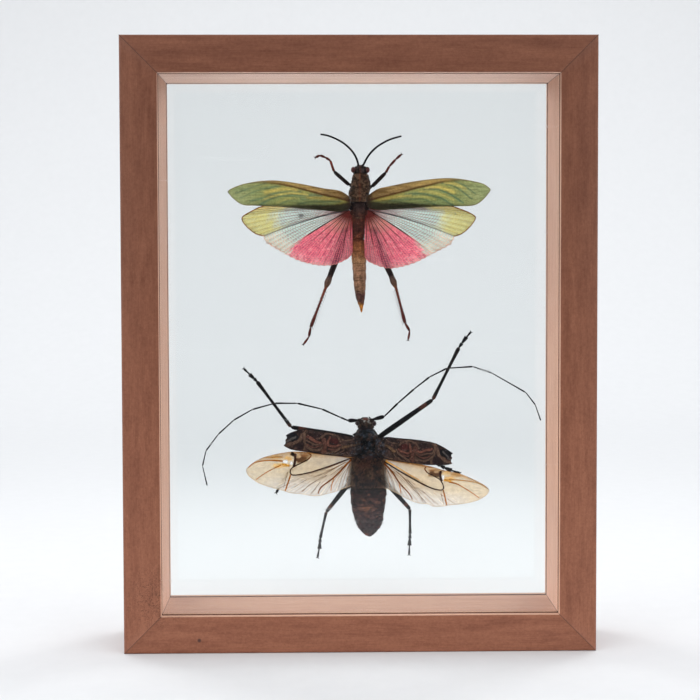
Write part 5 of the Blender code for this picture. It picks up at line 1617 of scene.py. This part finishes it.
def add_hind_wings(skin, vein):
    """The beetle's clear amber-veined hind wings."""
    columns = 230
    folds = srgb(150, 112, 76), srgb(120, 84, 54), srgb(206, 186, 156)
    for side, edges in HIND_EDGES.items():
        blade = Blade(edges, columns, 80)
        points = blade.points(HIND_DEPTHS)
        crease = np.sin(blade.across * 38 + 3 * lumps(points, 9.0)) * 0.09 * smooth(0.02, 0.3, blade.along)
        crease = crease + 0.12 * (lumps(points, 3.0, 4.0) - 0.5)
        points[..., 1] += crease - blade.arch(HIND_CAMBER)
        tint, cover = hind_look(side, points, blade.along, blade.across)
        shape = Shape()
        add_sheet(shape, points, HIND_THICKNESS, np.concatenate([tint, cover[..., None]], axis=-1))
        for line, first, last, colour in HIND_VEINS[side]:
            path = at_depth(curve(line), HIND_VEIN_Y)
            girth = np.linspace(first, last, len(path)) * 1.2
            girth[-1] *= 0.4
            add_tube(shape, path, girth, colour, 8, 1, 0.5)
        hinge = np.array(HIND_VEINS[side][0][0][0])
        for number, share in enumerate(np.linspace(0.06, 0.72, 15)):  # folds that run out from the hinge
            end = blade.trail[int(share * columns)]
            start = hinge + (end - hinge) * (0.12 + 0.1 * (number % 3))
            bend = (start + end) / 2 + (0.0, 0.9)
            path = at_depth(curve([start, bend, end]), HIND_FOLD_Y)
            girth = np.linspace(0.16, 0.08, len(path)) * (1.4 if number % 4 == 1 else 1.0)
            add_tube(shape, path, girth, folds[number % 3], 6, 1, 0.5)
        for edge, colour in ((blade.lead, srgb(150, 104, 60)), (blade.trail, srgb(190, 160, 120))):
            add_tube(shape, at_depth(edge[::3], HIND_DEPTHS[1]), 0.12, colour, 6, 1)
        shape.make(f"beetle_hind_wing_{side}", "skin", [skin, vein])


def add_insects():
    """Both specimens."""
    chitin = {
        "rough": chitin_material("chitin_rough", 0.6, 1.6, 0.16, level=0.66),
        "leather": chitin_material("chitin_leather", 0.6, 1.5, 0.16, level=0.44),
        "smooth": chitin_material("chitin_smooth", 0.42, 2.4, 0.04, level=0.5),
        "hair": chitin_material("chitin_hair", 0.6, 3.0, 0.01),
        "eye": eye_material(),
    }
    add_grasshopper_body(chitin)
    add_grasshopper_antennae(chitin)
    add_grasshopper_legs(chitin)
    add_tegmina(wing_material("tegmen_leaf", 0.65, 1.3, 0.5))
    add_fans(wing_material("fan_skin", 0.85, 1.0, 0.45, 0.16, veiled=True),
             chitin_material("fan_vein", 0.5, 3.0, 0.02))
    add_beetle_body(chitin)
    add_beetle_antennae(chitin)
    add_beetle_legs(chitin)
    add_elytra(chitin_material("elytron_velvet", 0.65, 2.0, 0.08, 0.08, 0.9))
    add_hind_wings(wing_material("hind_skin", 0.8, 1.6, 0.3, 0.02, veiled=True),
                   chitin_material("hind_vein", 0.4, 3.0, 0.02))


# ---------------------------------------------------------------- stage, lights and camera

# Lengths of the stage in metres
SWEEP_START = 0.9  # behind the frame
SWEEP_ROUND = 0.7
STAGE_REACH = 2.6
WIDE, NARROW, SLIM = 180, 50, 30
# Lamps: name, place, point they face, size in metres, watts, full angle of the beam in degrees
LAMPS = [
    ("back_lamp", (0.1, 0.4, 1.6), (0, 1.6, 1.2), 1.4, 8.5, WIDE),
    ("back_lamp_left", (-0.8, 0.75, 0.62), (0, 0, 0.19), 0.5, 0.5, NARROW),
    ("back_lamp_right", (0.8, 0.75, 0.62), (0, 0, 0.19), 0.5, 0.5, NARROW),
    ("front_lamp_left", (-1.0, -1.0, 0.25), (0, -0.1, 0.12), 0.4, 3.6, WIDE),
    ("front_lamp_right", (1.0, -1.0, 0.25), (0, -0.1, 0.12), 0.4, 3.1, WIDE),
    ("low_lamp", (0, 0.35, 0.03), (0, 0, 0.33), 0.25, 0.16, SLIM),
]
SKY_DARK, SKY_PALE = (0.02, 0.02, 0.025, 1), (0.95, 0.97, 1.0, 1)
SKY_EDGE = (-0.93, -0.78)  # dark below the first share towards +Y, pale above the second
SKY_STRENGTH = 1.25
CAMERA_PLACE = (-0.020609, -0.746388, 0.210576)
CAMERA_TURN = (-0.0160, -0.0379, -0.0028)  # yaw, pitch and roll in radians
CAMERA_LENS, CAMERA_SENSOR = 69.776, 36.0  # millimetres
CAMERA_SHIFT = (0.0100, -0.0543)


def add_stage():
    """A pale floor that sweeps up behind the frame."""
    floor = [(-STAGE_REACH, 0.0), (0.0, 0.0), (SWEEP_START, 0.0)]
    sweep = [(SWEEP_START + SWEEP_ROUND * math.sin(turn), SWEEP_ROUND * (1 - math.cos(turn)))
             for turn in np.linspace(0, math.pi / 2, 25)[1:]]
    profile = np.array(floor + sweep + [(SWEEP_START + SWEEP_ROUND, STAGE_REACH)])
    points = [(x, y, z) for y, z in profile for x in (-STAGE_REACH, STAGE_REACH)]
    mesh = bpy.data.meshes.new("floor_sweep")
    mesh.from_pydata(points, [], quads(len(profile), 2))
    mesh.materials.append(paper())
    mesh.shade_smooth()
    stage = bpy.data.objects.new("floor_sweep", mesh)
    bpy.context.scene.collection.objects.link(stage)


def add_lamp(name, place, target, size, power, spread):
    """A soft square lamp that faces a point."""
    data = bpy.data.lights.new(name, "AREA")
    data.size = size
    data.energy = power
    data.spread = math.radians(spread)
    lamp = bpy.data.objects.new(name, data)
    lamp.location = place
    direction = Vector(target) - Vector(place)
    lamp.rotation_euler = direction.to_track_quat("-Z", "Y").to_euler()
    bpy.context.scene.collection.objects.link(lamp)


def add_lights():
    """Soft light from above and both sides behind, a weaker one in front and pale surroundings."""
    world = bpy.data.worlds.new("studio")
    world.use_nodes = True
    tree = world.node_tree
    sky = tree.nodes["Background"]
    split = tree.nodes.new("ShaderNodeSeparateXYZ")
    shade = tree.nodes.new("ShaderNodeMapRange")
    colour = tree.nodes.new("ShaderNodeMix")
    colour.data_type = "RGBA"
    tree.links.new(tree.nodes.new("ShaderNodeTexCoord").outputs["Generated"], split.inputs[0])
    tree.links.new(split.outputs["Y"], shade.inputs["Value"])
    for socket, value in zip(("From Min", "From Max"), SKY_EDGE):
        shade.inputs[socket].default_value = value
    colour.inputs[6].default_value = SKY_DARK
    colour.inputs[7].default_value = SKY_PALE
    tree.links.new(shade.outputs[0], colour.inputs[0])
    tree.links.new(colour.outputs[2], sky.inputs["Color"])
    sky.inputs["Strength"].default_value = SKY_STRENGTH
    bpy.context.scene.world = world
    for lamp in LAMPS:
        add_lamp(*lamp)
    bpy.context.scene.view_settings.view_transform = "Standard"


def add_camera():
    """The photographer's view."""
    data = bpy.data.cameras.new("camera")
    data.lens = CAMERA_LENS
    data.sensor_width = CAMERA_SENSOR
    data.shift_x, data.shift_y = CAMERA_SHIFT
    camera = bpy.data.objects.new("camera", data)
    yaw, pitch, roll = CAMERA_TURN
    turn = (Matrix.Rotation(yaw, 4, "Z") @ Matrix.Rotation(math.pi / 2 + pitch, 4, "X")
            @ Matrix.Rotation(roll, 4, "Z"))
    camera.matrix_world = Matrix.Translation(CAMERA_PLACE) @ turn
    bpy.context.scene.collection.objects.link(camera)
    bpy.context.scene.camera = camera


add_frame()
add_insects()
add_stage()
add_lights()
add_camera()
